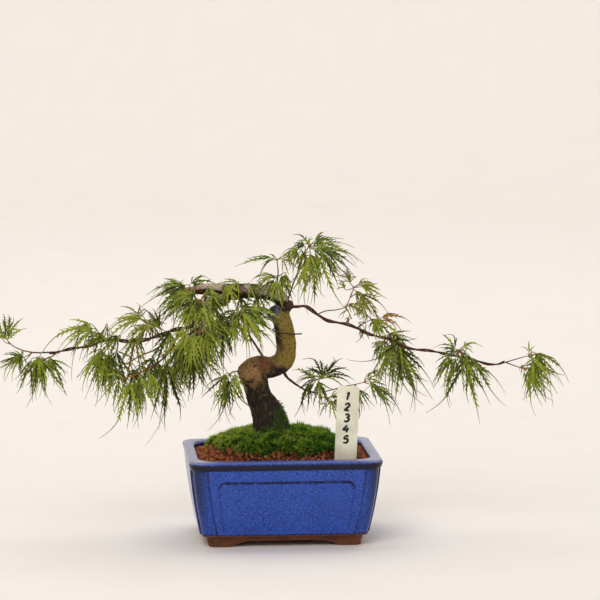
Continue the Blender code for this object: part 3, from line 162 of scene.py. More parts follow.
# Each spray: name, twig radius, twigs from the wood outward, and leaves as
# (twig point the petiole leaves from, hub, tip of the middle lobe, lobes, half fan angle, roll).
SPRAYS = [
    ("spray_left_tip", 1.0, [
        [(-165.0, 0.0, 130.2), (-171.2, 0.0, 130.6),
         (-177.5, 0.0, 132.0), (-183.1, -1.0, 134.6), (-185.8, -2.0, 136.8)],
    ], [
        (4, (-187.9, -3.0, 139.7), (-190.7, -6.0, 164.0), 5, 52, 20),
        (1, (-180.2, 3.0, 126.4), (-195.6, 4.0, 122.0), 7, 60, 10),
        (2, (-178.9, -4.0, 126.5), (-187.2, -12.0, 114.8), 5, 50, -20),
    ]),
    ("spray_left_outer", 1.0, [
        [(-153.8, 0.0, 130.6), (-158.0, -3.0, 127.8), (-162.9, -4.0, 126.5), (-167.8, -4.0, 127.2)],
    ], [
        (3, (-172.0, -5.0, 125.9), (-175.5, -9.0, 93.3), 5, 42, 15),
        (2, (-164.3, -7.0, 124.7), (-157.5, -12.0, 93.0), 5, 45, -15),
        (1, (-158.7, -1.0, 125.4), (-146.7, 6.0, 101.9), 5, 42, 20),
    ]),
    ("spray_left_upper", 0.9, [
        [(-120.4, 0.0, 138.0), (-123.1, 4.0, 140.4), (-126.5, 6.0, 144.4)],
    ], [
        (2, (-129.3, 4.0, 146.0), (-160.8, -4.0, 136.3), 7, 42, 5),
        (2, (-128.5, 10.0, 142.6), (-143.7, 16.0, 124.8), 5, 50, 25),
        (1, (-123.3, -4.0, 144.1), (-132.0, -16.0, 126.5), 5, 48, -25),
    ]),
    ("spray_left_red", 0.9, [
        [(-89.9, -3.0, 139.7), (-91.5, -7.0, 145.1), (-93.0, -9.0, 151.0)],
    ], [
        (2, (-98.0, -12.0, 154.1), (-125.9, -20.0, 150.0), 5, 26, 10),
        (2, (-99.2, -8.0, 156.5), (-106.7, -6.0, 166.1), 5, 70, 0),
        (1, (-95.4, -16.0, 150.3), (-111.6, -26.0, 135.3), 5, 45, -20),
        (2, (-89.9, -2.0, 150.2), (-79.5, 10.0, 135.5), 5, 48, 30),
    ]),
    ("spray_left_low", 0.9, [
        [(-116.9, 0.0, 138.7), (-120.3, 2.0, 134.2), (-123.2, 1.0, 130.1)],
    ], [
        (2, (-126.8, -3.0, 129.2), (-137.4, -10.0, 107.5), 5, 45, 10),
        (2, (-124.6, 1.0, 127.3), (-128.0, 1.0, 93.4), 7, 40, -10),
        (1, (-118.7, 9.0, 127.8), (-116.4, 16.0, 90.7), 7, 42, 20),
        (2, (-121.4, -8.0, 126.2), (-121.0, -19.0, 100.2), 5, 45, -30),
        (1, (-113.4, 2.0, 130.7), (-107.7, 6.0, 95.6), 5, 45, 10),
    ]),
    ("spray_left_front", 1.0, [
        [(-88.4, -19.4, 123.4), (-97.8, -24.0, 119.0), (-104.1, -27.0, 117.3), (-110.3, -28.0, 115.3)],
    ], [
        (3, (-113.8, -30.0, 113.5), (-121.6, -36.0, 94.8), 5, 50, 10),
        (2, (-105.6, -31.0, 113.6), (-105.8, -34.0, 77.2), 7, 35, 0),
        (1, (-98.0, -29.0, 116.2), (-94.2, -37.0, 88.0), 7, 40, 15),
        (0, (-91.7, -27.0, 118.7), (-84.0, -38.0, 97.2), 5, 45, -20),
    ]),
    ("spray_left_back", 1.0, [
        [(-88.0, 19.0, 127.8), (-96.5, 23.0, 124.0), (-103.4, 26.0, 119.4), (-108.3, 27.0, 117.8)],
    ], [
        (3, (-111.0, 29.0, 114.7), (-111.5, 35.0, 88.9), 5, 48, 20),
        (2, (-101.8, 31.0, 113.8), (-97.1, 40.0, 82.5), 7, 42, -10),
        (1, (-94.8, 28.0, 117.0), (-88.0, 38.0, 87.1), 5, 45, 25),
    ]),
    ("spray_left_mid", 1.0, [
        [(-71.0, 7.0, 138.6), (-75.1, 14.0, 131.5), (-79.2, 17.0, 125.4)],
    ], [
        (2, (-84.9, 15.0, 121.4), (-87.9, 10.0, 82.3), 7, 38, 5),
        (2, (-79.0, 20.0, 119.4), (-74.6, 24.0, 66.1), 7, 35, -15),
        (1, (-72.0, 20.0, 126.5), (-69.4, 29.0, 91.1), 7, 42, 25),
    ]),
    ("spray_limb_end", 1.2, [
        [(-59.2, 0.0, 172.6), (-63.4, -1.0, 172.7), (-66.2, -2.0, 172.8)],
    ], [
        (2, (-68.9, 0.0, 173.3), (-79.9, 2.0, 182.3), 3, 40, 0),
        (2, (-69.8, -4.0, 171.6), (-94.3, -8.0, 163.5), 5, 28, 10),
        (1, (-68.0, -8.0, 169.8), (-86.4, -16.0, 153.1), 7, 38, -15),
        (1, (-64.4, 6.0, 166.3), (-77.7, 18.0, 143.8), 5, 45, 30),
        (1, (-62.4, -7.0, 166.9), (-64.6, -9.0, 141.1), 5, 44, 5),
        (0, (-61.6, 5.0, 176.4), (-45.6, 16.0, 178.9), 5, 35, 30),
    ]),
    ("spray_limb_front", 1.2, [
        [(-50.9, -2.0, 171.4), (-53.5, -9.0, 169.2), (-55.9, -14.0, 166.9)],
    ], [
        (2, (-60.9, -17.0, 164.4), (-71.3, -19.0, 139.4), 7, 42, 0),
        (2, (-54.4, -24.0, 163.7), (-54.5, -37.0, 143.5), 7, 45, 0),
        (1, (-49.0, -15.0, 167.0), (-41.0, -29.0, 147.5), 5, 45, 20),
    ]),
    ("spray_leader_front", 1.2, [
        [(-52.5, -5.0, 156.9), (-54.5, -14.0, 152.9), (-56.3, -21.0, 149.4), (-58.6, -25.0, 146.4)],
    ], [
        (3, (-62.3, -29.0, 144.7), (-75.2, -40.0, 115.4), 7, 42, 10),
        (3, (-56.5, -24.0, 142.1), (-57.2, -25.0, 113.6), 7, 45, -5),
        (2, (-52.5, -26.0, 146.5), (-44.8, -35.0, 119.0), 7, 42, 15),
        (1, (-50.0, -19.0, 150.6), (-36.4, -22.0, 132.1), 5, 45, 25),
    ]),
    ("spray_leader_low", 1.0, [
        [(-62.2, -5.0, 147.7), (-63.0, -6.0, 141.5), (-63.7, -7.0, 135.3), (-63.8, -8.0, 131.2)],
    ], [
        (3, (-66.7, -10.0, 127.9), (-70.4, -15.0, 98.3), 7, 38, 0),
        (3, (-62.3, -6.0, 126.0), (-58.1, -6.0, 89.4), 5, 34, 15),
        (2, (-57.6, -9.0, 132.7), (-51.7, -14.0, 105.2), 5, 45, -20),
        (1, (-59.3, -13.0, 138.0), (-46.4, -18.0, 121.1), 5, 45, 10),
        (2, (-68.4, -3.0, 132.0), (-79.9, 2.0, 108.8), 5, 45, 30),
    ]),
    ("spray_limb_back", 1.2, [
        [(-39.0, 9.0, 167.5), (-42.6, 18.0, 160.9), (-46.3, 26.0, 153.7), (-49.5, 31.0, 146.7)],
    ], [
        (3, (-55.0, 34.0, 142.1), (-60.9, 42.0, 113.9), 7, 42, 10),
        (3, (-48.7, 33.0, 140.0), (-44.1, 38.0, 110.1), 7, 45, -15),
        (2, (-41.2, 29.0, 147.6), (-32.2, 37.0, 121.7), 7, 42, 20),
        (1, (-48.6, 23.0, 159.0), (-67.7, 34.0, 146.4), 7, 40, -25),
    ]),
    ("spray_inner_top", 0.9, [
        [(-26.3, -11.6, 152.4), (-28.9, -14.0, 157.1), (-29.7, -16.0, 158.7)],
    ], [
        (2, (-27.3, -21.0, 159.2), (-8.1, -30.0, 132.3), 7, 36, 0),
        (2, (-31.3, -18.0, 156.8), (-35.7, -22.0, 130.0), 7, 42, 10),
        (2, (-32.3, -13.0, 159.8), (-46.3, -5.0, 144.9), 5, 40, -20),
        (1, (-25.1, -10.0, 158.1), (-13.1, 2.0, 136.4), 5, 42, 30),
    ]),
    ("spray_trunk_left", 0.9, [
        [(-29.5, -4.0, 116.6), (-33.2, -7.0, 116.3), (-36.1, -9.0, 115.1)],
    ], [
        (2, (-39.0, -11.0, 113.2), (-57.4, -17.0, 96.5), 5, 42, 10),
        (2, (-36.9, -10.0, 111.0), (-37.9, -14.0, 77.1), 7, 35, -10),
        (2, (-33.7, -13.0, 112.8), (-28.8, -22.0, 92.2), 5, 42, 20),
    ]),
    ("spray_crown_left", 1.0, [
        [(-3.0, 8.2, 167.5), (-1.6, 6.0, 180.5), (-1.5, 7.0, 187.5), (-2.1, 8.0, 191.7)],
    ], [
        (1, (-6.0, 3.0, 181.5), (-24.5, -2.0, 174.9), 5, 36, 15),
        (1, (-5.0, -1.0, 179.0), (-14.4, -14.0, 159.9), 7, 40, -5),
        (1, (1.0, 4.0, 181.4), (5.3, -3.0, 161.6), 7, 36, 10),
        (3, (-5.5, 9.0, 193.0), (-30.7, 8.0, 184.6), 3, 24, 0),
        (3, (1.7, 12.0, 192.0), (14.6, 22.0, 183.3), 5, 50, 30),
    ]),
    ("spray_crown_top", 1.1, [
        [(5.3, 5.0, 164.3), (8.6, 3.0, 175.1),
         (12.5, 0.0, 186.0), (15.8, -2.0, 196.1), (19.2, -3.0, 202.5)],
    ], [
        (4, (17.2, -2.0, 205.9), (11.3, 2.0, 212.7), 3, 35, 0),
        (4, (23.6, -1.0, 204.4), (45.1, 5.0, 201.1), 5, 36, 20),
        (4, (24.5, -6.0, 202.0), (52.0, -14.0, 181.6), 5, 34, 0),
        (4, (22.7, -10.0, 199.5), (40.4, -26.0, 169.5), 5, 26, -20),
        (3, (20.0, -9.0, 197.4), (24.2, -16.0, 164.3), 7, 34, 10),
        (3, (11.3, -6.0, 200.6), (-3.1, -12.0, 192.7), 7, 42, 0),
        (2, (17.3, 6.0, 187.6), (21.2, 18.0, 170.1), 5, 42, -30),
    ]),
    ("spray_right_red", 0.8, [
        [(25.8, 0.0, 154.9), (31.0, -3.0, 157.4), (37.8, -5.0, 158.3),
         (43.9, -6.0, 160.5), (47.4, -6.0, 166.8), (50.1, -6.0, 173.9)],
    ], [
        (5, (47.5, -5.0, 177.3), (44.2, -3.0, 187.7), 5, 45, 0),
        (5, (54.9, -7.0, 175.4), (73.0, -12.0, 167.4), 5, 32, 10),
        (4, (55.2, -4.0, 168.7), (73.5, -2.0, 150.9), 5, 36, -10),
        (3, (49.8, -9.0, 162.9), (62.4, -14.0, 155.0), 5, 40, 20),
        (3, (44.3, -2.0, 156.6), (39.5, 5.0, 152.3), 3, 40, 0),
    ]),
    ("spray_right_a", 0.8, [
        [(52.9, 0.0, 145.1), (58.1, -3.0, 148.9), (62.1, -5.0, 151.2)],
    ], [
        (2, (65.3, -7.0, 151.4), (85.4, -13.0, 136.6), 5, 26, 10),
        (2, (60.0, -5.0, 153.3), (52.9, -6.0, 151.3), 3, 35, 0),
        (2, (63.3, -6.0, 148.5), (71.6, -12.0, 134.4), 5, 42, 30),
        (1, (58.9, 4.0, 143.9), (55.5, 11.0, 132.5), 3, 40, 0),
    ]),
    ("spray_right_b", 0.9, [
        [(71.7, 0.0, 137.3), (73.7, 5.0, 133.2), (76.0, 7.0, 130.8)],
    ], [
        (2, (72.3, 5.0, 130.4), (62.2, 2.0, 122.2), 5, 45, 0),
        (2, (79.1, 4.0, 130.5), (81.7, 2.0, 89.7), 7, 38, -10),
        (2, (82.5, 9.0, 129.2), (105.7, 10.0, 90.1), 7, 34, 10),
        (1, (79.3, 11.0, 135.4), (99.6, 22.0, 119.1), 7, 38, 25),
        (1, (67.8, 8.0, 133.6), (65.0, 14.0, 123.6), 5, 45, 20),
    ]),
    ("spray_right_c", 0.9, [
        [(121.8, 0.0, 124.6), (123.5, -3.0, 127.8), (124.0, -4.0, 129.3)],
    ], [
        (2, (120.5, -4.0, 130.7), (110.0, -5.0, 140.7), 5, 48, 0),
        (2, (126.9, -3.0, 130.6), (136.4, 0.0, 134.5), 3, 40, 10),
        (2, (120.7, -8.0, 124.1), (107.6, -12.0, 93.7), 5, 36, 0),
        (1, (126.5, -6.0, 123.2), (132.3, -14.0, 75.7), 3, 20, -10),
        (1, (129.4, -5.0, 125.2), (152.2, -6.0, 88.0), 3, 24, 10),
        (1, (128.1, -9.0, 123.5), (139.1, -19.0, 100.2), 5, 45, -30),
    ]),
    ("spray_right_tip", 0.8, [
        [(156.6, 0.0, 119.6), (162.7, -1.0, 121.5), (169.0, -1.0, 123.3), (172.4, -1.0, 124.0)],
        [(156.6, 0.0, 119.6), (163.0, 1.0, 117.1), (168.1, 2.0, 115.2), (170.8, 2.0, 114.5)],
    ], [
        (3, (173.1, -1.0, 126.8), (173.1, -1.0, 136.7), 3, 30, 0),
        (3, (177.5, 0.0, 126.0), (199.6, 3.0, 98.8), 7, 36, 10),
        (3, (175.1, -6.0, 122.5), (184.1, -18.0, 100.1), 7, 42, -10),
        (7, (173.8, 3.0, 112.2), (182.0, 2.0, 86.9), 7, 40, 10),
        (7, (174.1, 5.0, 114.8), (198.7, 10.0, 98.6), 5, 38, 25),
        (7, (170.0, 1.0, 111.8), (171.9, 0.0, 103.4), 3, 35, 0),
    ]),
    ("spray_low_right_a", 0.9, [
        [(15.5, 17.4, 101.2), (23.9, 17.0, 105.5), (28.8, 17.0, 107.6)],
    ], [
        (2, (30.1, 16.0, 109.9), (29.7, 12.0, 126.7), 7, 55, 0),
        (2, (33.0, 17.0, 108.4), (51.8, 15.0, 112.9), 5, 38, 10),
        (2, (28.0, 16.0, 104.9), (29.5, 10.0, 82.3), 5, 42, 20),
        (1, (23.5, 20.0, 108.0), (13.7, 28.0, 114.9), 5, 45, 10),
        (1, (20.6, 12.0, 104.7), (13.8, 6.0, 81.4), 5, 24, 0),
    ]),
    ("spray_low_right_b", 0.8, [
        [(26.6, 21.6, 96.4), (38.0, 24.0, 98.2),
         (45.8, 25.0, 100.2), (54.3, 25.0, 101.7), (60.5, 24.0, 103.2)],
    ], [
        (4, (64.6, 23.0, 103.3), (81.0, 19.0, 86.0), 7, 38, 0),
        (4, (62.9, 27.0, 105.0), (75.9, 35.0, 106.1), 5, 40, 20),
        (3, (56.6, 27.0, 97.8), (68.2, 30.0, 81.0), 5, 35, 20),
    ]),
    ("spray_low_right_c", 0.8, [
        [(24.0, 20.9, 97.3), (29.6, 18.0, 94.7), (33.6, 16.0, 92.8)],
    ], [
        (2, (36.3, 15.0, 92.3), (39.4, 11.0, 75.8), 5, 42, 0),
        (2, (36.7, 18.0, 94.0), (48.1, 20.0, 94.5), 5, 42, 30),
        (2, (33.2, 19.0, 89.6), (28.1, 24.0, 80.4), 3, 40, 0),
    ]),
]

# Lobes that have withered: middle of the spot (x, z), its radius, and how brown they are.
WITHERED = [
    (-102.0, 128.0, 8.0, 1.0), (15.5, 194.0, 7.0, 0.9), (75.0, 153.0, 8.0, 0.9), (-72.0, 153.0, 7.0, 0.8),
    (-77.0, 146.0, 6.0, 0.7), (-110.0, 140.0, 5.0, 0.8), (20.0, 168.0, 5.0, 0.7)]

# The sawn left end of the crown limb, turned to the front.
CUT_END = [(-60.0, 0.4, 172.4, 2.6), (-64.0, -1.6, 171.8, 3.2), (-66.6, -4.6, 171.4, 3.2)]

# Maples carry their leaves in pairs: how many are added beside each leaf, one where nothing is said.
CROWDED = {"spray_limb_end": 2, "spray_limb_front": 3, "spray_leader_front": 2, "spray_leader_low": 2,
           "spray_limb_back": 2, "spray_inner_top": 2, "spray_left_tip": 2, "spray_left_outer": 2,
           "spray_right_b": 2, "spray_crown_top": 2, "spray_right_red": 2,
           "spray_right_a": 2, "spray_right_c": 2}

# Leaves that grow straight from the wood and hang over it: hub, tip and width of the fan in degrees.
OVERHANGING = {
    "spray_limb_front": [
        ((-66.0, -4.5, 176.5), (-92.0, -12.0, 160.0), 42.0), ((-62.0, -5.0, 173.0), (-70.0, -14.0, 142.0), 44.0),
        ((-50.0, -4.0, 174.0), (-47.0, -14.0, 146.0), 46.0), ((-38.0, -3.0, 176.0), (-28.0, -12.0, 156.0), 50.0),
        ((-30.0, 2.0, 177.5), (-45.0, -9.0, 165.0), 48.0), ((-34.0, -7.0, 155.0), (-8.0, -15.0, 133.0), 34.0),
        ((-40.0, -8.0, 152.0), (-46.0, -18.0, 118.0), 40.0), ((-21.0, 1.0, 176.0), (-12.0, -8.0, 160.0), 44.0),
        ((-28.0, -3.0, 161.0), (-6.0, -10.0, 146.0), 42.0),
        ((-27.0, 13.0, 166.0), (-19.0, 20.0, 141.0), 42.0), ((-15.0, 14.0, 167.0), (-10.0, 22.0, 147.0), 40.0), ((-45.0, -6.0, 163.0), (-58.0, -15.0, 140.0), 40.0)],
    "spray_leader_front": [
        ((-91.0, -7.0, 150.0), (-110.0, -13.0, 133.0), 36.0), ((-77.0, -9.0, 145.0), (-91.0, -17.0, 115.0), 44.0),
        ((-67.0, -10.0, 142.0), (-63.0, -19.0, 110.0), 42.0), ((-54.0, -9.0, 146.0), (-46.0, -18.0, 115.0), 40.0),
        ((-84.0, -8.0, 148.0), (-96.0, -14.0, 162.0), 34.0)],
    "spray_leader_low": [
        ((-112.0, -5.0, 142.0), (-130.0, -11.0, 121.0), 40.0), ((-100.0, -6.0, 141.0), (-106.0, -14.0, 112.0), 44.0),
        ((-122.0, -4.0, 141.0), (-142.0, -9.0, 138.0), 34.0)]}

# Plain numbers 1 to 5 written down the label: pen strokes of each, in mm from its middle.
NUMBERS = [
    [[(-0.7, 1.5), (0.5, 2.5), (0.3, 0.2), (0.1, -2.5)]],
    [[(-1.5, 1.2), (-0.6, 2.4), (0.9, 2.3), (1.3, 1.0), (-0.2, -0.8), (-1.7, -2.2)],
     [(-1.7, -2.2), (0.1, -2.1), (1.8, -2.4)]],
    [[(-1.4, 2.0), (0.1, 2.5), (1.3, 1.6), (0.9, 0.6), (-0.3, 0.2)],
     [(-0.3, 0.2), (1.3, -0.2), (1.6, -1.4), (0.4, -2.5), (-1.5, -2.1)]],
    [[(0.2, 2.5), (-0.8, 0.9), (-1.8, -0.6), (0.0, -0.7), (1.9, -0.5)], [(0.9, 0.9), (0.7, -0.8), (0.6, -2.6)]],
    [[(1.5, 2.4), (0.3, 2.4), (-0.9, 2.3)], [(-0.9, 2.3), (-1.2, 0.5), (0.6, 0.5), (1.5, -0.7),
                                             (0.7, -2.2), (-1.5, -2.2)]],
]


def linear(code):
    """Turn an sRGB hex colour into linear red, green and blue."""
    parts = [int(code[i:i + 2], 16) / 255.0 for i in (1, 3, 5)]
    return tuple(part / 12.92 if part <= 0.04045 else ((part + 0.055) / 1.055) ** 2.4 for part in parts)


def per(size):
    """Scale of a pattern whose marks are this many mm apart."""
    return 1.0 / (size * MM)


def put(tree, kind, inputs=(), stops=(), **settings):
    """Add a node with its settings, its ramp stops, and the values or links of its inputs."""
    node = tree.nodes.new(kind)
    for key, value in settings.items():
        setattr(node, key, value)
    for key, value in dict(inputs).items():
        if isinstance(value, bpy.types.NodeSocket):
            tree.links.new(value, node.inputs[key])
        else:
            node.inputs[key].default_value = value
    for i, (place, colour) in enumerate(stops):
        ramp = node.color_ramp.elements
        stop = ramp[i] if i < len(ramp) else ramp.new(place)
        stop.position, stop.color = place, (*colour[:3], 1.0)
    return node


def new_surface(name, uniform):
    """A material, its tree and its shader, with the values that are the same all over it."""
    material = bpy.data.materials.new(name)
    material.use_nodes = True
    shader = material.node_tree.nodes["Principled BSDF"]
    for key, value in uniform.items():
        shader.inputs[key].default_value = value
    return material, material.node_tree, shader


# shapes

class Shape:
    """Points in mm, faces and point values of one piece while it is being made."""

    def __init__(self, *fields):
        self.points, self.faces, self.kinds = [], [], []
        self.fields = {field: [] for field in fields}

    def add(self, point, **values):
        self.points.append(tuple(point))
        for field, stored in self.fields.items():
            stored.append(values.get(field, 0.0))
        return len(self.points) - 1

    def face(self, *corners, kind=0):
        self.faces.append(corners)
        self.kinds.append(kind)

    def mesh(self, name):
        mesh = bpy.data.meshes.new(name)
        mesh.from_pydata([tuple(value * MM for value in point) for point in self.points], [], self.faces)
        mesh.polygons.foreach_set("material_index", self.kinds)
        for field, stored in self.fields.items():
            mesh.attributes.new(field, "FLOAT", "POINT").data.foreach_set("value", stored)
        face_outward(mesh)
        return mesh


def face_outward(mesh):
    bm = bmesh.new()
    bm.from_mesh(mesh)
    bmesh.ops.recalc_face_normals(bm, faces=bm.faces)
    bm.to_mesh(mesh)
    bm.free()


def place_mesh(name, mesh):
    mesh.name = name
    obj = bpy.data.objects.new(name, mesh)
    bpy.context.scene.collection.objects.link(obj)
    return obj


def finish_piece(name, mesh, nodes, materials, crease=None):
    """Put a finished mesh in the scene as a piece that stands for its CAD nodes."""
    obj = place_mesh(name, mesh)
    if len(materials) == 1:
        mesh.materials.clear()
    for material in materials:
        mesh.materials.append(material)
    mesh.shade_smooth()
    if crease:
        mesh.set_sharp_from_angle(angle=math.radians(crease))
    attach(obj, "root")
    if nodes:
        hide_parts(*nodes)
    return obj


def applied(obj):
    """The plain mesh that an object's modifiers give; the object itself is removed."""
    bpy.context.view_layer.update()
    graph = bpy.context.evaluated_depsgraph_get()
    mesh = bpy.data.meshes.new_from_object(obj.evaluated_get(graph))
    old = obj.data
    bpy.data.objects.remove(obj, do_unlink=True)
    if isinstance(old, bpy.types.Mesh):
        bpy.data.meshes.remove(old)
    return mesh


def part_of(mesh, name, keep):
    """A copy of the faces whose middles pass a test, given in mm."""
    bm = bmesh.new()
    bm.from_mesh(mesh)
    others = [face for face in bm.faces if not keep(face.calc_center_median() / MM)]
    bmesh.ops.delete(bm, geom=others, context="FACES")
    part = bpy.data.meshes.new(name)
    bm.to_mesh(part)
    bm.free()
    return part


def new_tree(name, sizes):
    """A Geometry Nodes tree with one named input for each size; returns it with its input and output."""
    tree = bpy.data.node_groups.new(name, "GeometryNodeTree")
    tree.interface.new_socket("Geometry", in_out="INPUT", socket_type="NodeSocketGeometry")
    tree.interface.new_socket("Geometry", in_out="OUTPUT", socket_type="NodeSocketGeometry")
    for size, value in sizes.items():
        socket = tree.interface.new_socket(size, in_out="INPUT", socket_type="NodeSocketFloat")
        socket.default_value = value
    return tree, put(tree, "NodeGroupInput"), put(tree, "NodeGroupOutput")


def grow(obj, tree, sizes):
    """Run a Geometry Nodes tree on an object and return the plain mesh."""
    modifier = obj.modifiers.new(tree.name, "NODES")
    modifier.node_group = tree
    for item in tree.interface.items_tree:
        if item.in_out == "INPUT" and item.name in sizes:
            modifier[item.identifier] = sizes[item.name]
    return applied(obj)


def smooth_path(points, step):
    """Points about step mm apart on a smooth curve through (x, y, z, radius) points."""
    given = np.array(points, float)
    ends = np.vstack([2 * given[0] - given[1], given, 2 * given[-1] - given[-2]])
    path = []
    for a, b, c, d in zip(ends, ends[1:], ends[2:], ends[3:]):
        count = max(1, int(round(np.linalg.norm((c - b)[:3]) / step)))
        for i in range(count):
            t = i / count
            path.append(0.5 * (2 * b + (c - a) * t + (2 * a - 5 * b + 4 * c - d) * t ** 2
                               + (3 * b - a - 3 * c + d) * t ** 3))
    path.append(given[-1])
    return [tuple(point) for point in path]


def sweep(shape, path, sides, kind=0, start=0.0, end=1.0, **values):
    """A closed round tube along (x, y, z, radius) points; the field "along" runs from start to end."""
    places = [Vector(point[:3]) for point in path]
    way = (places[1] - places[0]).normalized()
    out = way.orthogonal().normalized()
    rings = []
    for i, place in enumerate(places):
        ahead = (places[min(i + 1, len(places) - 1)] - places[max(i - 1, 0)]).normalized()
        out = way.rotation_difference(ahead) @ out
        way, across = ahead, ahead.cross(out)
        share = start + (end - start) * i / (len(places) - 1)
        ring = []
        for k in range(sides):
            angle = 2.0 * math.pi * k / sides
            point = place + (out * math.cos(angle) + across * math.sin(angle)) * path[i][3]
            ring.append(shape.add(point, along=share, **values))
        rings.append(ring)
    for near, far in zip(rings, rings[1:]):
        for k in range(sides):
            j = (k + 1) % sides
            shape.face(near[k], near[j], far[j], far[k], kind=kind)
    for ring, place, sign, share in ((rings[0], places[0], -1, start), (rings[-1], places[-1], 1, end)):
        row = 0 if sign < 0 else -1
        step = (places[1] - places[0]) if sign < 0 else (places[-1] - places[-2])
        tip = shape.add(place + step.normalized() * sign * path[row][3] * 0.5, along=share, **values)
        for k in range(sides):
            shape.face(ring[k], ring[(k + 1) % sides], tip, kind=kind)


# pot

def body_half(z):
    """Half length and half depth of the pot's body at a height."""
    share = (z - BODY_FOOT_Z) / (POT_HEIGHT - LIP_HEIGHT - BODY_FOOT_Z)
    bow = 3.2 * share * (1.0 - share)
    return tuple(low + (high - low) * share + bow for low, high in zip(BODY_FOOT_HALF, BODY_TOP_HALF))


def wall_half(z):
    """Half size of the pot's inside at a height."""
    share = (z - FLOOR_Z - 3.0) / (POT_HEIGHT - 2.0 - FLOOR_Z - 3.0)
    return tuple(low + 1.0 + (high - low - 1.0) * share for low, high in zip(FLOOR_HALF, MOUTH_HALF))


def shrink(half, amount):
    return (half[0] - amount, half[1] - amount)


def pot_plan(half, radius, step=0.0):
    """One level of the pot: (x, y, nearness to a corner's edge) round a rectangle with stepped corners."""
    half_x, half_y = half
    length = min(max(CORNER_LENGTH, radius + 1.6), 0.9 * half_y)
    quarter = []
    for i in range(10):
        quarter.append((half_x, (half_y - length) * i / 10.0, 0.0))
    for i in range(5):
        share = i / 4.0
        ease = share * share * (3.0 - 2.0 * share)
        quarter.append((half_x - step * ease, half_y - length + 1.1 * share, 1.0 - abs(share - 0.15)))
    turn = max(radius, 1.0)
    for i in range(11):
        angle = math.radians(9.0 * i)
        quarter.append((half_x - step - turn + turn * math.cos(angle),
                        half_y - step - turn + turn * math.sin(angle), 0.25))
    for i in range(5):
        share = 1.0 - i / 4.0
        ease = share * share * (3.0 - 2.0 * share)
        quarter.append((half_x - length + 1.1 * share, half_y - step * ease, 1.0 - abs(share - 0.15)))
    shares = [0.985, 0.97] + [0.96 - 0.0068 * i for i in range(30)] + [0.74 - 0.062 * i for i in range(12)]
    for share in shares:
        quarter.append(((half_x - length) * share, half_y, 0.0))
    ring = quarter + [(-x, y, edge) for x, y, edge in quarter[:0:-1]]
    ring += [(-x, -y, edge) for x, y, edge in quarter] + [(x, -y, edge) for x, y, edge in quarter[:0:-1]]
    return ring


def arch_height(x, y):
    """Height of the pot's underside above the table."""
    front = np.interp(x, [s for s, _ in FOOT_ARCH], [z for _, z in FOOT_ARCH], 0.0, 0.0)
    side = np.interp(y, [s for s, _ in SIDE_ARCH], [z for _, z in SIDE_ARCH], 0.0, 0.0)
    return float(max(front, side))


def groove_distance(x, z):
    """Distance from a point of a long face to its panel line."""
    line = [(-43.0, GROOVE_FOOT_Z), (-46.7, 40.0), (-45.9, 43.2), (-44.4, 45.2), (-42.0, GROOVE_TOP_Z)]
    line += [(-s, height) for s, height in line[::-1]]
    best = 99.0
    for (x0, z0), (x1, z1) in zip(line, line[1:]):
        share = ((x - x0) * (x1 - x0) + (z - z0) * (z1 - z0)) / ((x1 - x0) ** 2 + (z1 - z0) ** 2)
        share = min(max(share, 0.0), 1.0)
        best = min(best, math.hypot(x - x0 - (x1 - x0) * share, z - z0 - (z1 - z0) * share))
    return best


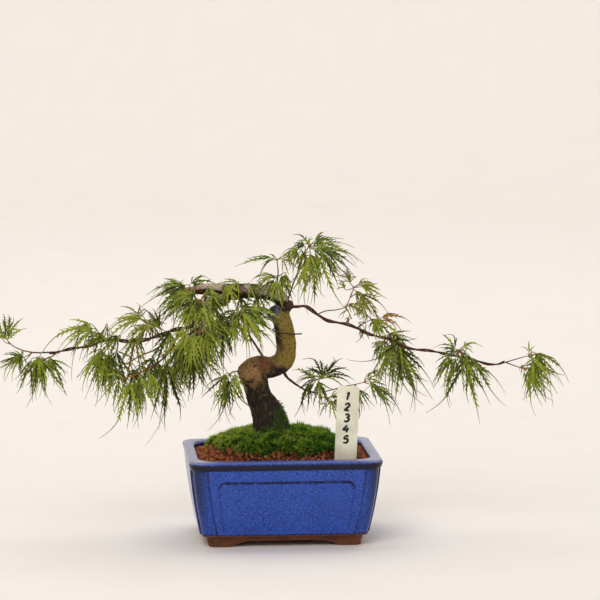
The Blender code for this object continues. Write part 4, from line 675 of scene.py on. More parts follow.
def pot_mesh():
    """The pot as rings from under its floor up the outside, over the lip and down the inside."""
    shape = Shape("thin", "lip")
    lip_low = POT_HEIGHT - LIP_HEIGHT
    rows = []
    for share in (0.2, 0.4, 0.6, 0.75, 0.88, 0.96):
        rows.append((tuple(half * share for half in shrink(BAND_HALF, 1.2)), 5.0 * share, 0.0, "under", 0.0))
    rows.append((shrink(BAND_HALF, 1.2), 5.0, 0.0, "under", 0.0))
    for rise, inset in ((0.1, 1.0), (0.35, 0.85), (0.54, 0.75), (0.58, 0.2), (0.66, 0.05), (0.94, 0.0), (1.0, 0.15)):
        rows.append((shrink(BAND_HALF, inset), 6.0, 0.0, "band", rise))
    for z, inset, step in ((BAND_TOP_Z + 0.15, 1.9, 0.4), (BAND_TOP_Z + 0.7, 0.9, 0.9), (BAND_TOP_Z + 1.4, 0.35, 1.4),
                           (BODY_FOOT_Z - 0.5, 0.1, CORNER_STEP), (BODY_FOOT_Z, 0.0, CORNER_STEP)):
        rows.append((shrink(BODY_FOOT_HALF, inset), 6.0, step, "body", z))
    heights = [10.6, 11.4, 12.2, 13.0, 14.0] + [16.5 + 2.6 * i for i in range(11)]
    heights += [43.9 + 0.34 * i for i in range(13)] + [49.0, 51.0, 53.0, lip_low - 0.9]
    for z in heights:
        rows.append((body_half(z), 6.0 + 1.2 * (z - 10.0) / 45.0, CORNER_STEP, "body", z))
    for z, half, radius in (
            (lip_low - 0.45, shrink(LIP_HALF, 1.0), LIP_RADIUS), (lip_low - 0.05, shrink(LIP_HALF, 0.85), LIP_RADIUS),
            (lip_low + 0.5, shrink(LIP_HALF, 0.6), LIP_RADIUS), (lip_low + 1.3, shrink(LIP_HALF, 0.3), LIP_RADIUS),
            (lip_low + 2.6, shrink(LIP_HALF, 0.06), LIP_RADIUS), (POT_HEIGHT - 1.5, LIP_HALF, LIP_RADIUS),
            (POT_HEIGHT - 0.7, shrink(LIP_HALF, 0.2), LIP_RADIUS), (POT_HEIGHT - 0.3, shrink(LIP_HALF, 0.6), LIP_RADIUS),
            (POT_HEIGHT - 0.05, shrink(LIP_HALF, 1.3), LIP_RADIUS - 0.6),
            (POT_HEIGHT, shrink(LIP_HALF, 2.4), LIP_RADIUS - 0.8),
            (POT_HEIGHT, (MOUTH_HALF[0] + 2.2, MOUTH_HALF[1] + 2.2), MOUTH_RADIUS),
            (POT_HEIGHT - 0.1, (MOUTH_HALF[0] + 1.2, MOUTH_HALF[1] + 1.2), MOUTH_RADIUS),
            (POT_HEIGHT - 0.5, (MOUTH_HALF[0] + 0.5, MOUTH_HALF[1] + 0.5), MOUTH_RADIUS),
            (POT_HEIGHT - 1.2, (MOUTH_HALF[0] + 0.1, MOUTH_HALF[1] + 0.1), MOUTH_RADIUS),
            (POT_HEIGHT - 2.0, MOUTH_HALF, MOUTH_RADIUS), (46.0, wall_half(46.0), 13.0), (30.0, wall_half(30.0), 12.0),
            (FLOOR_Z + 3.0, wall_half(FLOOR_Z + 3.0), FLOOR_RADIUS + 1.0),
            (FLOOR_Z + 0.8, shrink(FLOOR_HALF, 0.4), FLOOR_RADIUS), (FLOOR_Z, shrink(FLOOR_HALF, 1.5), FLOOR_RADIUS)):
        rows.append((half, radius, 0.0, "lip", z))
    rings = []
    for half, radius, step, zone, level in rows:
        ring = []
        for x, y, corner in pot_plan(half, radius, step):
            z, thin, lip = level, 0.0, 0.0
            if zone == "under":
                z = arch_height(x, y)
            elif zone == "band":
                low = arch_height(x, y)
                z = low + (BAND_TOP_Z - low) * level
            elif zone == "body":
                thin = max(0.85 * corner * (step > 0.5) * min(1.0, (lip_low - z) / 2.0 + 0.4),
                           math.exp(-((z - BAND_TOP_Z - 1.0) / 1.3) ** 2), math.exp(-((z - lip_low) / 0.9) ** 2))
                if abs(abs(y) - half[1]) < 0.01 and z > BODY_FOOT_Z + 0.5:
                    away = groove_distance(x, z)
                    dip = 0.7 * max(0.0, 1.0 - (away / 1.2) ** 2)
                    y -= math.copysign(dip, y)
                    # Dark along the panel line where glaze pools in the groove, with painted shade added along its top
                    # part.
                    thin = max(thin, (0.4 + 0.5 * (z > 41.0)) * math.exp(-((away - 0.3) / 0.7) ** 2))
            else:
                lip = min(1.0, max(0.0, (z - POT_HEIGHT + 1.6) / 1.0))
                # Outside, the lip's lower face goes dark where the glaze breaks over it; inside, the wall below the rim
                # is darkened as painted shade in the pot's mouth.
                outside = half[0] > MOUTH_HALF[0] + 3.0
                thin = min(1.0, max(0.0, (POT_HEIGHT - (1.1 if outside else 0.8) - z) / 1.0)) * (1.15 if outside else 0.95)
            wave = 0.1 * noise.noise(Vector((x, y, z)) * 0.07) - 0.1 if BODY_FOOT_Z < z < POT_HEIGHT - 3.0 else 0.0
            ring.append(shape.add((x * (1.0 + wave / 60.0), y * (1.0 + wave / 45.0), z), thin=thin, lip=lip))
        rings.append(ring)
    count = len(rings[0])
    clay_rows = 16
    for level, (near, far) in enumerate(zip(rings, rings[1:])):
        for k in range(count):
            j = (k + 1) % count
            shape.face(near[k], near[j], far[j], far[k], kind=int(level < clay_rows or level > len(rings) - 5))
    shape.face(*rings[0], kind=1)
    shape.face(*rings[-1], kind=1)
    obj = place_mesh("pot_shell", shape.mesh("pot_shell"))
    for side in (-1, 1):
        drill = Shape()
        sweep(drill, [(side * DRAIN_X, 0.0, z, DRAIN_RADIUS) for z in (0.0, FLOOR_Z + 4.0)], 32)
        cutter = place_mesh("drain_cutter", drill.mesh("drain_cutter"))
        modifier = obj.modifiers.new("drain", "BOOLEAN")
        modifier.operation, modifier.solver, modifier.object = "DIFFERENCE", "EXACT", cutter
        mesh = applied(obj)
        bpy.data.objects.remove(cutter, do_unlink=True)
        obj = place_mesh("pot_shell", mesh)
    bpy.data.objects.remove(obj, do_unlink=True)
    return mesh


def glaze_material(settings):
    # Cobalt glaze fired over stoneware: a thick glossy blue with darker drops in it, which runs thin and goes dark
    # brown wherever the clay has an edge. The same dark is painted as shade inside the pot's mouth and along the top of
    # the panel line, and the top of the rim carries a painted reflection.
    material, tree, shader = new_surface("cobalt_glaze_on_stoneware", {"Roughness": 0.2, "IOR": 1.5,
                                                                       "Specular IOR Level": 0.26})
    coords = put(tree, "ShaderNodeTexCoord").outputs["Object"]
    clouds = put(tree, "ShaderNodeTexNoise", {"Vector": coords, "Scale": per(16.0), "Detail": 3.0}).outputs[0]
    runs = put(tree, "ShaderNodeMapping", {"Vector": coords, "Scale": (1.0, 1.0, 0.4)}).outputs[0]
    streaks = put(tree, "ShaderNodeTexNoise", {"Vector": runs, "Scale": per(1.6), "Detail": 3.0}).outputs[0]
    drops = put(tree, "ShaderNodeTexNoise", {"Vector": coords, "Scale": per(0.8), "Detail": 1.0}).outputs[0]
    deep = tuple(value * 0.8 for value in settings.glaze)
    body = put(tree, "ShaderNodeValToRGB", {0: clouds}, stops=[(0.3, deep), (0.7, settings.glaze)]).outputs[0]
    flow = put(tree, "ShaderNodeMapRange", {0: drops, 1: 0.5, 2: 0.3, 3: 0.0, 4: 0.55}).outputs[0]
    body = put(tree, "ShaderNodeMix", {0: flow, 6: body, 7: (*settings.glaze_pale, 1.0)}, data_type="RGBA").outputs[2]
    spots = put(tree, "ShaderNodeMapRange", {0: drops, 1: 0.52, 2: 0.7, 3: 0.0, 4: 0.75}).outputs[0]
    body = put(tree, "ShaderNodeMix", {0: spots, 6: body, 7: (*settings.glaze_dark, 1.0)}, data_type="RGBA").outputs[2]
    split = put(tree, "ShaderNodeSeparateXYZ", {0: coords})
    across, away = (put(tree, "ShaderNodeMath", {0: split.outputs[axis]}, operation="ABSOLUTE").outputs[0]
                    for axis in "XY")
    lip = put(tree, "ShaderNodeAttribute", attribute_name="lip").outputs["Fac"]
    # Darker towards the left and right ends of the front and back faces, but not on the rim's top.
    corner = put(tree, "ShaderNodeMapRange", {0: across, 1: 52.0 * MM, 2: 61.0 * MM, 3: 0.0, 4: 0.8}).outputs[0]
    beside = put(tree, "ShaderNodeMapRange", {0: away, 1: 34.0 * MM, 2: 44.0 * MM, 3: 0.0, 4: 1.0}).outputs[0]
    corner = put(tree, "ShaderNodeMath", {0: corner, 1: beside}, operation="MULTIPLY").outputs[0]
    corner = put(tree, "ShaderNodeMath", {0: corner, 1: lip}, operation="SUBTRACT", use_clamp=True).outputs[0]
    body = put(tree, "ShaderNodeMix", {0: corner, 6: body, 7: (*settings.edge_glaze_and_painted_shade, 1.0)}, data_type="RGBA").outputs[2]
    # thin holds the glaze's dark edges and also the painted shade inside the mouth and along the top of the panel line.
    thin = put(tree, "ShaderNodeAttribute", attribute_name="thin").outputs["Fac"]
    broken = put(tree, "ShaderNodeMath", {0: streaks, 1: 1.1, 2: -0.58}, operation="MULTIPLY_ADD").outputs[0]
    edge = put(tree, "ShaderNodeMath", {0: thin, 1: broken}, operation="ADD").outputs[0]
    edge = put(tree, "ShaderNodeMapRange", {0: edge, 1: 0.2, 2: 0.9, 3: 0.0, 4: 0.97}).outputs[0]
    body = put(tree, "ShaderNodeMix", {0: edge, 6: body, 7: (*settings.edge_glaze_and_painted_shade, 1.0)}, data_type="RGBA").outputs[2]
    # Painted reflection: the top of the rim is paler, more so towards its ends, and broken up by streaks.
    ends = put(tree, "ShaderNodeMapRange", {0: across, 1: 48.0 * MM, 2: 62.0 * MM, 3: 0.25, 4: 0.85}).outputs[0]
    rim = put(tree, "ShaderNodeMath", {0: lip, 1: ends}, operation="MULTIPLY").outputs[0]
    worn = put(tree, "ShaderNodeMapRange", {0: streaks, 1: 0.35, 2: 0.6, 3: 1.0, 4: 0.6}).outputs[0]
    rim = put(tree, "ShaderNodeMath", {0: rim, 1: worn}, operation="MULTIPLY").outputs[0]
    body = put(tree, "ShaderNodeMix", {0: rim, 6: body, 7: (*settings.rim_reflection, 1.0)}, data_type="RGBA").outputs[2]
    tree.links.new(body, shader.inputs["Base Color"])
    bump = put(tree, "ShaderNodeBump", {"Height": clouds, "Strength": 0.25, "Distance": 0.3 * MM}).outputs[0]
    bump = put(tree, "ShaderNodeBump", {"Height": drops, "Strength": 0.15, "Distance": 0.08 * MM,
                                        "Normal": bump}).outputs[0]
    tree.links.new(bump, shader.inputs["Normal"])
    return material


def clay_material(settings):
    # Unglazed red-brown stoneware: matt and gritty, a little darker where the kiln has flashed it.
    material, tree, shader = new_surface("unglazed_stoneware", {"Roughness": 0.85})
    coords = put(tree, "ShaderNodeTexCoord").outputs["Object"]
    clouds = put(tree, "ShaderNodeTexNoise", {"Vector": coords, "Scale": per(7.0), "Detail": 5.0}).outputs[0]
    grit = put(tree, "ShaderNodeTexNoise", {"Vector": coords, "Scale": per(0.8), "Detail": 2.0}).outputs[0]
    mixed = put(tree, "ShaderNodeMath", {0: clouds, 1: grit}, operation="ADD").outputs[0]
    mixed = put(tree, "ShaderNodeMath", {0: mixed, 1: 0.5}, operation="MULTIPLY").outputs[0]
    dark = tuple(value * 0.45 for value in settings.clay)
    pale = tuple(min(1.0, value * 1.5) for value in settings.clay)
    body = put(tree, "ShaderNodeValToRGB", {0: mixed},
               stops=[(0.32, dark), (0.5, settings.clay), (0.66, pale)]).outputs[0]
    tree.links.new(body, shader.inputs["Base Color"])
    bump = put(tree, "ShaderNodeBump", {"Height": grit, "Strength": 0.6, "Distance": 0.2 * MM}).outputs[0]
    tree.links.new(bump, shader.inputs["Normal"])
    return material


# soil and moss

def moss_reach(x, y):
    """0 in the middle of the moss, 1 at its edge."""
    across = abs(x - MOSS_CENTRE[0]) / MOSS_HALF[0]
    along = abs(y - MOSS_CENTRE[1]) / MOSS_HALF[1]
    return (across ** 2.6 + along ** 2.6) ** (1.0 / 2.6)


def bare_height(point):
    """How far up the cushion's edge the soil shows, higher in front and at the left."""
    front = 1.0 if point.y < MOSS_CENTRE[1] else 0.4
    ragged = noise.noise(Vector((point.x * 0.11, point.y * 0.11, 4.0)))
    return SOIL_Z + front * (4.6 + 4.0 * ragged + 2.5 * (point.x < -36.0))


def soil_meshes():
    """The soil's body, and the part of its top that shows round the moss."""
    body, top = Shape(), Shape()
    rings = []
    levels = [(shrink(FLOOR_HALF, 1.9), FLOOR_RADIUS, FLOOR_Z + 0.3, 1.0),
              (shrink(wall_half(FLOOR_Z + 3.3), 0.35), FLOOR_RADIUS + 1.0, FLOOR_Z + 3.3, 1.0)]
    edge = shrink(wall_half(SOIL_Z), 0.35)
    for share in (1.0, 0.985, 0.965, 0.94, 0.91, 0.88, 0.84, 0.8, 0.74, 0.66, 0.5):
        levels.append((edge, MOUTH_RADIUS, SOIL_Z - (0.8 if share == 1.0 else 0.0), share))
    for level, (half, radius, z, share) in enumerate(levels):
        ring = []
        for x, y, _ in pot_plan(half, radius)[::3]:
            x, y = x * share, y * share
            lift = GRAIN * 0.8 * noise.noise(Vector((x * 0.42, y * 0.42, 3.0))) if 2 < level else 0.0
            ring.append(body.add((x, y, z + lift - 0.3)))
        rings.append(ring)
    count = len(rings[0])
    for level, (near, far) in enumerate(zip(rings, rings[1:])):
        for k in range(count):
            j = (k + 1) % count
            body.face(near[k], near[j], far[j], far[k])
            middle = np.mean([body.points[i] for i in (near[k], near[j], far[j], far[k])], axis=0)
            if level >= 2 and moss_reach(middle[0], middle[1]) > 0.9:
                top.face(*[top.add(body.points[i]) for i in (near[k], near[j], far[j], far[k])])
    body.face(*rings[0])
    body.face(*rings[-1])
    return body.mesh("soil_body"), top.mesh("soil_top")


def grain_tree(material):
    """Lumps of baked clay strewn over a surface."""
    tree, given, result = new_tree("soil_grains", {"Spacing": 1.7 * MM, "Smallest": 0.8 * MM, "Largest": 1.5 * MM})
    spread = put(tree, "GeometryNodeDistributePointsOnFaces", {
        "Mesh": given.outputs["Geometry"], "Distance Min": given.outputs["Spacing"], "Density Max": 900000.0,
        "Seed": 4}, distribute_method="POISSON")
    lump = put(tree, "GeometryNodeMeshCube", {"Size": (2.0, 2.0, 2.0), "Vertices X": 3, "Vertices Y": 3,
                                              "Vertices Z": 3})
    place = put(tree, "GeometryNodeInputPosition").outputs[0]
    ball = put(tree, "ShaderNodeVectorMath", {0: place}, operation="NORMALIZE").outputs[0]
    rounded = put(tree, "ShaderNodeMix", {0: 0.62, 4: place, 5: ball}, data_type="VECTOR").outputs[1]
    lump = put(tree, "GeometryNodeSetPosition", {"Geometry": lump.outputs[0], "Position": rounded}).outputs[0]
    turn = put(tree, "FunctionNodeRandomValue", {0: (0.0, 0.0, 0.0), 1: (6.28, 6.28, 6.28), "Seed": 1},
               data_type="FLOAT_VECTOR").outputs[0]
    size = put(tree, "FunctionNodeRandomValue", {2: given.outputs["Smallest"], 3: given.outputs["Largest"],
                                                 "Seed": 2}, data_type="FLOAT").outputs[1]
    grains = put(tree, "GeometryNodeInstanceOnPoints", {
        "Points": spread.outputs["Points"], "Instance": lump, "Rotation": turn, "Scale": size}).outputs[0]
    tint = put(tree, "FunctionNodeRandomValue", {2: 0.0, 3: 1.0, "Seed": 3}, data_type="FLOAT").outputs[1]
    grains = put(tree, "GeometryNodeStoreNamedAttribute", {"Geometry": grains, "Name": "tint", "Value": tint},
                 data_type="FLOAT", domain="INSTANCE").outputs[0]
    grains = put(tree, "GeometryNodeRealizeInstances", {0: grains}).outputs[0]
    rough = put(tree, "ShaderNodeTexNoise", {"Scale": per(1.1), "Detail": 1.0}).outputs["Color"]
    rough = put(tree, "ShaderNodeVectorMath", {0: rough, 1: (0.5, 0.5, 0.5)}, operation="SUBTRACT").outputs[0]
    rough = put(tree, "ShaderNodeVectorMath", {0: rough, "Scale": 0.9 * MM}, operation="SCALE").outputs[0]
    grains = put(tree, "GeometryNodeSetPosition", {"Geometry": grains, "Offset": rough}).outputs[0]
    grains = put(tree, "GeometryNodeSetMaterial", {"Geometry": grains, "Material": material}).outputs[0]
    tree.links.new(grains, result.inputs[0])
    return tree


def soil_material(settings):
    # Akadama, a baked granular clay: matt red-brown lumps, each a slightly different shade and dusty on top.
    material, tree, shader = new_surface("akadama_clay_grains", {"Roughness": 0.93})
    coords = put(tree, "ShaderNodeTexCoord").outputs["Object"]
    tint = put(tree, "ShaderNodeAttribute", attribute_name="tint").outputs["Fac"]
    grit = put(tree, "ShaderNodeTexNoise", {"Vector": coords, "Scale": per(0.7), "Detail": 3.0}).outputs[0]
    shade = put(tree, "ShaderNodeMath", {0: grit, 1: 0.5, 2: tint}, operation="MULTIPLY_ADD").outputs[0]
    dark = tuple(value * 0.35 for value in settings.soil)
    body = put(tree, "ShaderNodeValToRGB", {0: shade}, stops=[
        (0.15, dark), (0.6, settings.soil), (1.0, settings.soil_pale)]).outputs[0]
    tree.links.new(body, shader.inputs["Base Color"])
    bump = put(tree, "ShaderNodeBump", {"Height": grit, "Strength": 0.7, "Distance": 0.15 * MM}).outputs[0]
    tree.links.new(bump, shader.inputs["Normal"])
    return material


def moss_mesh():
    """The cushion of moss round the trunk."""
    shape = Shape("tip", "bare")
    sides, rings = 112, []
    shares = [1.0, 1.01, 1.0, 0.985, 0.965, 0.94, 0.91, 0.87, 0.82, 0.76, 0.69, 0.61, 0.52, 0.42, 0.3, 0.16]
    for level, share in enumerate(shares):
        ring = []
        for i in range(sides):
            angle = 2.0 * math.pi * i / sides
            away = Vector((math.cos(angle), math.sin(angle)))
            edge = 1.0 / moss_reach(MOSS_CENTRE[0] + away.x, MOSS_CENTRE[1] + away.y)
            edge *= 1.0 + 0.05 * noise.noise(Vector((away.x * 3.0, away.y * 3.0, 1.0)))
            edge *= 1.0 - 0.22 * math.exp(-((math.degrees(angle) - 272.0) / 14.0) ** 2)
            x = MOSS_CENTRE[0] + away.x * edge * share * 0.985
            y = MOSS_CENTRE[1] + away.y * edge * share * 0.985
            z = SOIL_Z - 0.6
            if level:
                z += 1.2 + (MOSS_RISE - 1.2) * (1.0 - min(share, 1.0) ** 2.6) ** 0.55
                z += 1.3 * noise.noise(Vector((x * 0.09, y * 0.09, 7.0))) * min(1.0, level / 4.0)
                z += 0.7 * noise.noise(Vector((x * 0.4, y * 0.4, 2.0))) * min(1.0, level / 3.0)
            ring.append(shape.add((x, y, z), bare=float(z < bare_height(Vector((x, y, z))))))
        rings.append(ring)
    for near, far in zip(rings, rings[1:]):
        for k in range(sides):
            j = (k + 1) % sides
            shape.face(near[k], near[j], far[j], far[k])
    shape.face(*rings[0])
    shape.face(*rings[-1])
    return shape.mesh("moss_cushion")


def sprig_mesh():
    """One shoot of moss, thin leaves round a stem, 1 m tall before it is scaled down."""
    shape = Shape("tip")
    dice = random.Random(5)
    for i in range(7):
        angle = 2.4 * i
        lean = 0.16 + 0.5 * (i % 3) / 2.0
        foot = Vector((0.07 * math.cos(angle), 0.07 * math.sin(angle), 0.05 * i))
        away = Vector((math.cos(angle) * lean, math.sin(angle) * lean, 1.0 - 0.3 * lean)).normalized()
        side = away.orthogonal().normalized() * 0.085
        base = []
        for k in range(3):
            base.append(shape.add((foot + Quaternion(away, 2.0944 * k) @ side) / MM, tip=0.0))
        peak = shape.add((foot + away * dice.uniform(0.6, 1.0)) / MM, tip=1.0)
        for k in range(3):
            shape.face(base[k], base[(k + 1) % 3], peak)
        shape.face(*base)
    return shape.mesh("moss_sprig")


def sprig_tree(name, sprig, material):
    """Moss shoots that stand out of a surface, leaning a little each its own way."""
    tree, given, result = new_tree(name, {"Spacing": 1.2 * MM, "Shortest": 1.4 * MM, "Tallest": 3.2 * MM})
    spread = put(tree, "GeometryNodeDistributePointsOnFaces", {
        "Mesh": given.outputs["Geometry"], "Distance Min": given.outputs["Spacing"], "Density Max": 1200000.0,
        "Seed": 8}, distribute_method="POISSON")
    lean = put(tree, "FunctionNodeRandomValue", {0: (-0.45, -0.45, 0.0), 1: (0.45, 0.45, 6.28), "Seed": 5},
               data_type="FLOAT_VECTOR").outputs[0]
    turn = put(tree, "FunctionNodeRotateRotation", {0: spread.outputs["Rotation"], 1: lean},
               rotation_space="LOCAL").outputs[0]
    size = put(tree, "FunctionNodeRandomValue", {2: given.outputs["Shortest"], 3: given.outputs["Tallest"],
                                                 "Seed": 6}, data_type="FLOAT").outputs[1]
    clumps = put(tree, "ShaderNodeTexNoise", {"Scale": per(7.0), "Detail": 1.0}).outputs[0]
    clumps = put(tree, "ShaderNodeMapRange", {0: clumps, 1: 0.3, 2: 0.7, 3: 0.55, 4: 1.45}).outputs[0]
    size = put(tree, "ShaderNodeMath", {0: size, 1: clumps}, operation="MULTIPLY").outputs[0]
    shoot = put(tree, "GeometryNodeObjectInfo", {"Object": sprig}).outputs["Geometry"]
    shoots = put(tree, "GeometryNodeInstanceOnPoints", {
        "Points": spread.outputs["Points"], "Instance": shoot, "Rotation": turn, "Scale": size}).outputs[0]
    tint = put(tree, "FunctionNodeRandomValue", {2: 0.0, 3: 1.0, "Seed": 7}, data_type="FLOAT").outputs[1]
    shoots = put(tree, "GeometryNodeStoreNamedAttribute", {"Geometry": shoots, "Name": "shade", "Value": tint},
                 data_type="FLOAT", domain="INSTANCE").outputs[0]
    shoots = put(tree, "GeometryNodeRealizeInstances", {0: shoots}).outputs[0]
    grown = put(tree, "GeometryNodeSetMaterial", {"Geometry": shoots, "Material": material}).outputs[0]
    tree.links.new(grown, result.inputs[0])
    return tree


def moss_material(settings):
    # Living carpet moss: matt, with fresh pale-green young tips over a dark damp base, fresher in patches, and painted
    # darker towards the right as shade.
    material, tree, shader = new_surface("carpet_moss", {"Roughness": 0.85, "Specular IOR Level": 0.2})
    coords = put(tree, "ShaderNodeTexCoord").outputs["Object"]
    tip = put(tree, "ShaderNodeAttribute", attribute_name="tip").outputs["Fac"]
    shade = put(tree, "ShaderNodeAttribute", attribute_name="shade").outputs["Fac"]
    patches = put(tree, "ShaderNodeTexNoise", {"Vector": coords, "Scale": per(11.0), "Detail": 2.0}).outputs[0]
    fresh = put(tree, "ShaderNodeMath", {0: shade, 1: 0.35, 2: patches}, operation="MULTIPLY_ADD").outputs[0]
    # Painted shade: the moss gets darker towards the right and fresher towards the left.
    painted_shade_east = put(tree, "ShaderNodeSeparateXYZ", {0: coords}).outputs["X"]
    painted_shade_east = put(tree, "ShaderNodeMapRange", {0: painted_shade_east, 1: -0.05, 2: 0.05, 3: 0.26, 4: -0.12}).outputs[0]
    fresh = put(tree, "ShaderNodeMath", {0: fresh, 1: painted_shade_east}, operation="ADD").outputs[0]
    young = put(tree, "ShaderNodeValToRGB", {0: fresh}, stops=[
        (0.35, settings.moss_dark), (0.62, settings.moss), (0.9, settings.moss_pale)]).outputs[0]
    deep = tuple(value * 0.3 for value in settings.moss_dark)
    body = put(tree, "ShaderNodeMix", {0: tip, 6: (*deep, 1.0), 7: young}, data_type="RGBA").outputs[2]
    bare = put(tree, "ShaderNodeAttribute", attribute_name="bare").outputs["Fac"]
    body = put(tree, "ShaderNodeMix", {0: bare, 6: body, 7: (*linear("#3A1E12"), 1.0)}, data_type="RGBA").outputs[2]
    tree.links.new(body, shader.inputs["Base Color"])
    return material


# label

def label_turn():
    turn = Matrix.Rotation(math.radians(LABEL_LEAN_RIGHT), 3, "Y")
    return turn @ Matrix.Rotation(math.radians(-LABEL_LEAN_BACK), 3, "X")


def card_mesh():
    """The plant label's card, with rounded top corners."""
    width, thick, tall = LABEL_SIZE
    corner, turn, foot = 2.6, label_turn(), Vector(LABEL_FOOT)
    outline = [(-width / 2.0, 0.0), (width / 2.0, 0.0)]
    for quarter, side in ((0.0, 1.0), (90.0, -1.0)):
        for i in range(9):
            angle = math.radians(quarter + 11.25 * i)
            outline.append((side * (width / 2.0 - corner) + corner * math.cos(angle),
                            tall - corner + corner * math.sin(angle)))
    shape = Shape()
    rings = []
    for y, inset in ((-1.0, 0.25), (-0.6, 0.0), (0.6, 0.0), (1.0, 0.25)):
        ring = []
        for x, z in outline:
            x, z = x * (1.0 - 2.0 * inset / width), tall / 2.0 + (z - tall / 2.0) * (1.0 - 2.0 * inset / tall)
            ring.append(shape.add(foot + turn @ Vector((x, y * thick / 2.0, z))))
        rings.append(ring)
    count = len(outline)
    for near, far in zip(rings, rings[1:]):
        for k in range(count):
            j = (k + 1) % count
            shape.face(near[k], near[j], far[j], far[k])
    shape.face(*rings[0])
    shape.face(*rings[-1])
    return shape.mesh("label_card")


def ink_mesh():
    """Pen strokes of the numbers, as thin ribbons on the front of the card."""
    shape = Shape()
    turn, foot = label_turn(), Vector(LABEL_FOOT)
    front = -LABEL_SIZE[1] / 2.0
    for row, strokes in enumerate(NUMBERS):
        for stroke in strokes:
            path = smooth_path([(x, 0.0, z, 0.0) for x, z in stroke], 0.3)
            spots = [(-0.4 + x + 0.15 * z, 73.0 - 7.4 * row + z) for x, _, z, _ in path]
            rows = []
            for i, (x, z) in enumerate(spots):
                x0, z0 = spots[max(i - 1, 0)]
                x1, z1 = spots[min(i + 1, len(spots) - 1)]
                long = math.hypot(x1 - x0, z1 - z0)
                press = 0.82 - 0.3 * abs(2.0 * i / (len(spots) - 1) - 1.0) ** 3
                side_x, side_z = -(z1 - z0) / long * press, (x1 - x0) / long * press
                rows.append([shape.add(foot + turn @ Vector((x + s * side_x, y, z + s * side_z)))
                             for s, y in ((-1.0, front - 0.02), (0.0, front - 0.09), (1.0, front - 0.02),
                                          (0.0, front + 0.05))])
            for near, far in zip(rows, rows[1:]):
                for k in range(4):
                    j = (k + 1) % 4
                    shape.face(near[k], near[j], far[j], far[k])
            shape.face(*rows[0])
            shape.face(*rows[-1])
    return shape.mesh("label_numbers")


def card_material(settings):
    # Pale plastic plant label, satin and slightly yellowed, with faint smears of soil near its foot.
    material, tree, shader = new_surface("plastic_label_card", {"Roughness": 0.42, "IOR": 1.49,
                                                                "Subsurface Weight": 0.1,
                                                                "Subsurface Scale": 1.0 * MM})
    coords = put(tree, "ShaderNodeTexCoord").outputs["Object"]
    clouds = put(tree, "ShaderNodeTexNoise", {"Vector": coords, "Scale": per(12.0), "Detail": 4.0}).outputs[0]
    pale = tuple(min(1.0, value * 1.12) for value in settings.card)
    worn = tuple(value * 0.86 for value in settings.card)
    body = put(tree, "ShaderNodeValToRGB", {0: clouds}, stops=[(0.35, worn), (0.65, pale)]).outputs[0]
    height = put(tree, "ShaderNodeSeparateXYZ", {0: coords}).outputs["Z"]
    smear = put(tree, "ShaderNodeMapRange", {0: height, 1: 60.0 * MM, 2: 54.0 * MM, 3: 0.0, 4: 0.8}).outputs[0]
    smear = put(tree, "ShaderNodeMath", {0: smear, 1: clouds}, operation="MULTIPLY").outputs[0]
    body = put(tree, "ShaderNodeMix", {0: smear, 6: body, 7: (*linear("#7A5A40"), 1.0)}, data_type="RGBA").outputs[2]
    tree.links.new(body, shader.inputs["Base Color"])
    fine = put(tree, "ShaderNodeTexNoise", {"Vector": coords, "Scale": per(0.9), "Detail": 2.0}).outputs[0]
    bump = put(tree, "ShaderNodeBump", {"Height": fine, "Strength": 0.15, "Distance": 0.05 * MM}).outputs[0]
    tree.links.new(bump, shader.inputs["Normal"])
    return material


def ink_material():
    # Waterproof marker ink: near-black, faintly worn through where the pen ran dry.
    material, tree, shader = new_surface("marker_ink", {"Roughness": 0.5})
    coords = put(tree, "ShaderNodeTexCoord").outputs["Object"]
    dry = put(tree, "ShaderNodeTexNoise", {"Vector": coords, "Scale": per(0.8), "Detail": 3.0}).outputs[0]
    body = put(tree, "ShaderNodeValToRGB", {0: dry},
               stops=[(0.55, linear("#15141A")), (0.8, linear("#4A4A4C"))]).outputs[0]
    tree.links.new(body, shader.inputs["Base Color"])
    return material


# wood

def spot_share(x, z, spot_x, spot_z, reach):
    """1 at a spot on the front view, falling to 0 at a distance from it."""
    share = 1.0 - math.hypot(x - spot_x, z - spot_z) / reach
    return max(0.0, min(1.0, share * 1.25))


def slender(path):
    """A branch without the thickness that its solid needs, swollen a little at its buds."""
    fine = smooth_path(path, 1.1)
    return [(x, y, z, radius * (0.58 + 0.07 * math.sin(0.55 * i) ** 8 + 0.07 * noise.noise(Vector((x, y, z)) * 0.3)))
            for i, (x, y, z, radius) in enumerate(fine)]


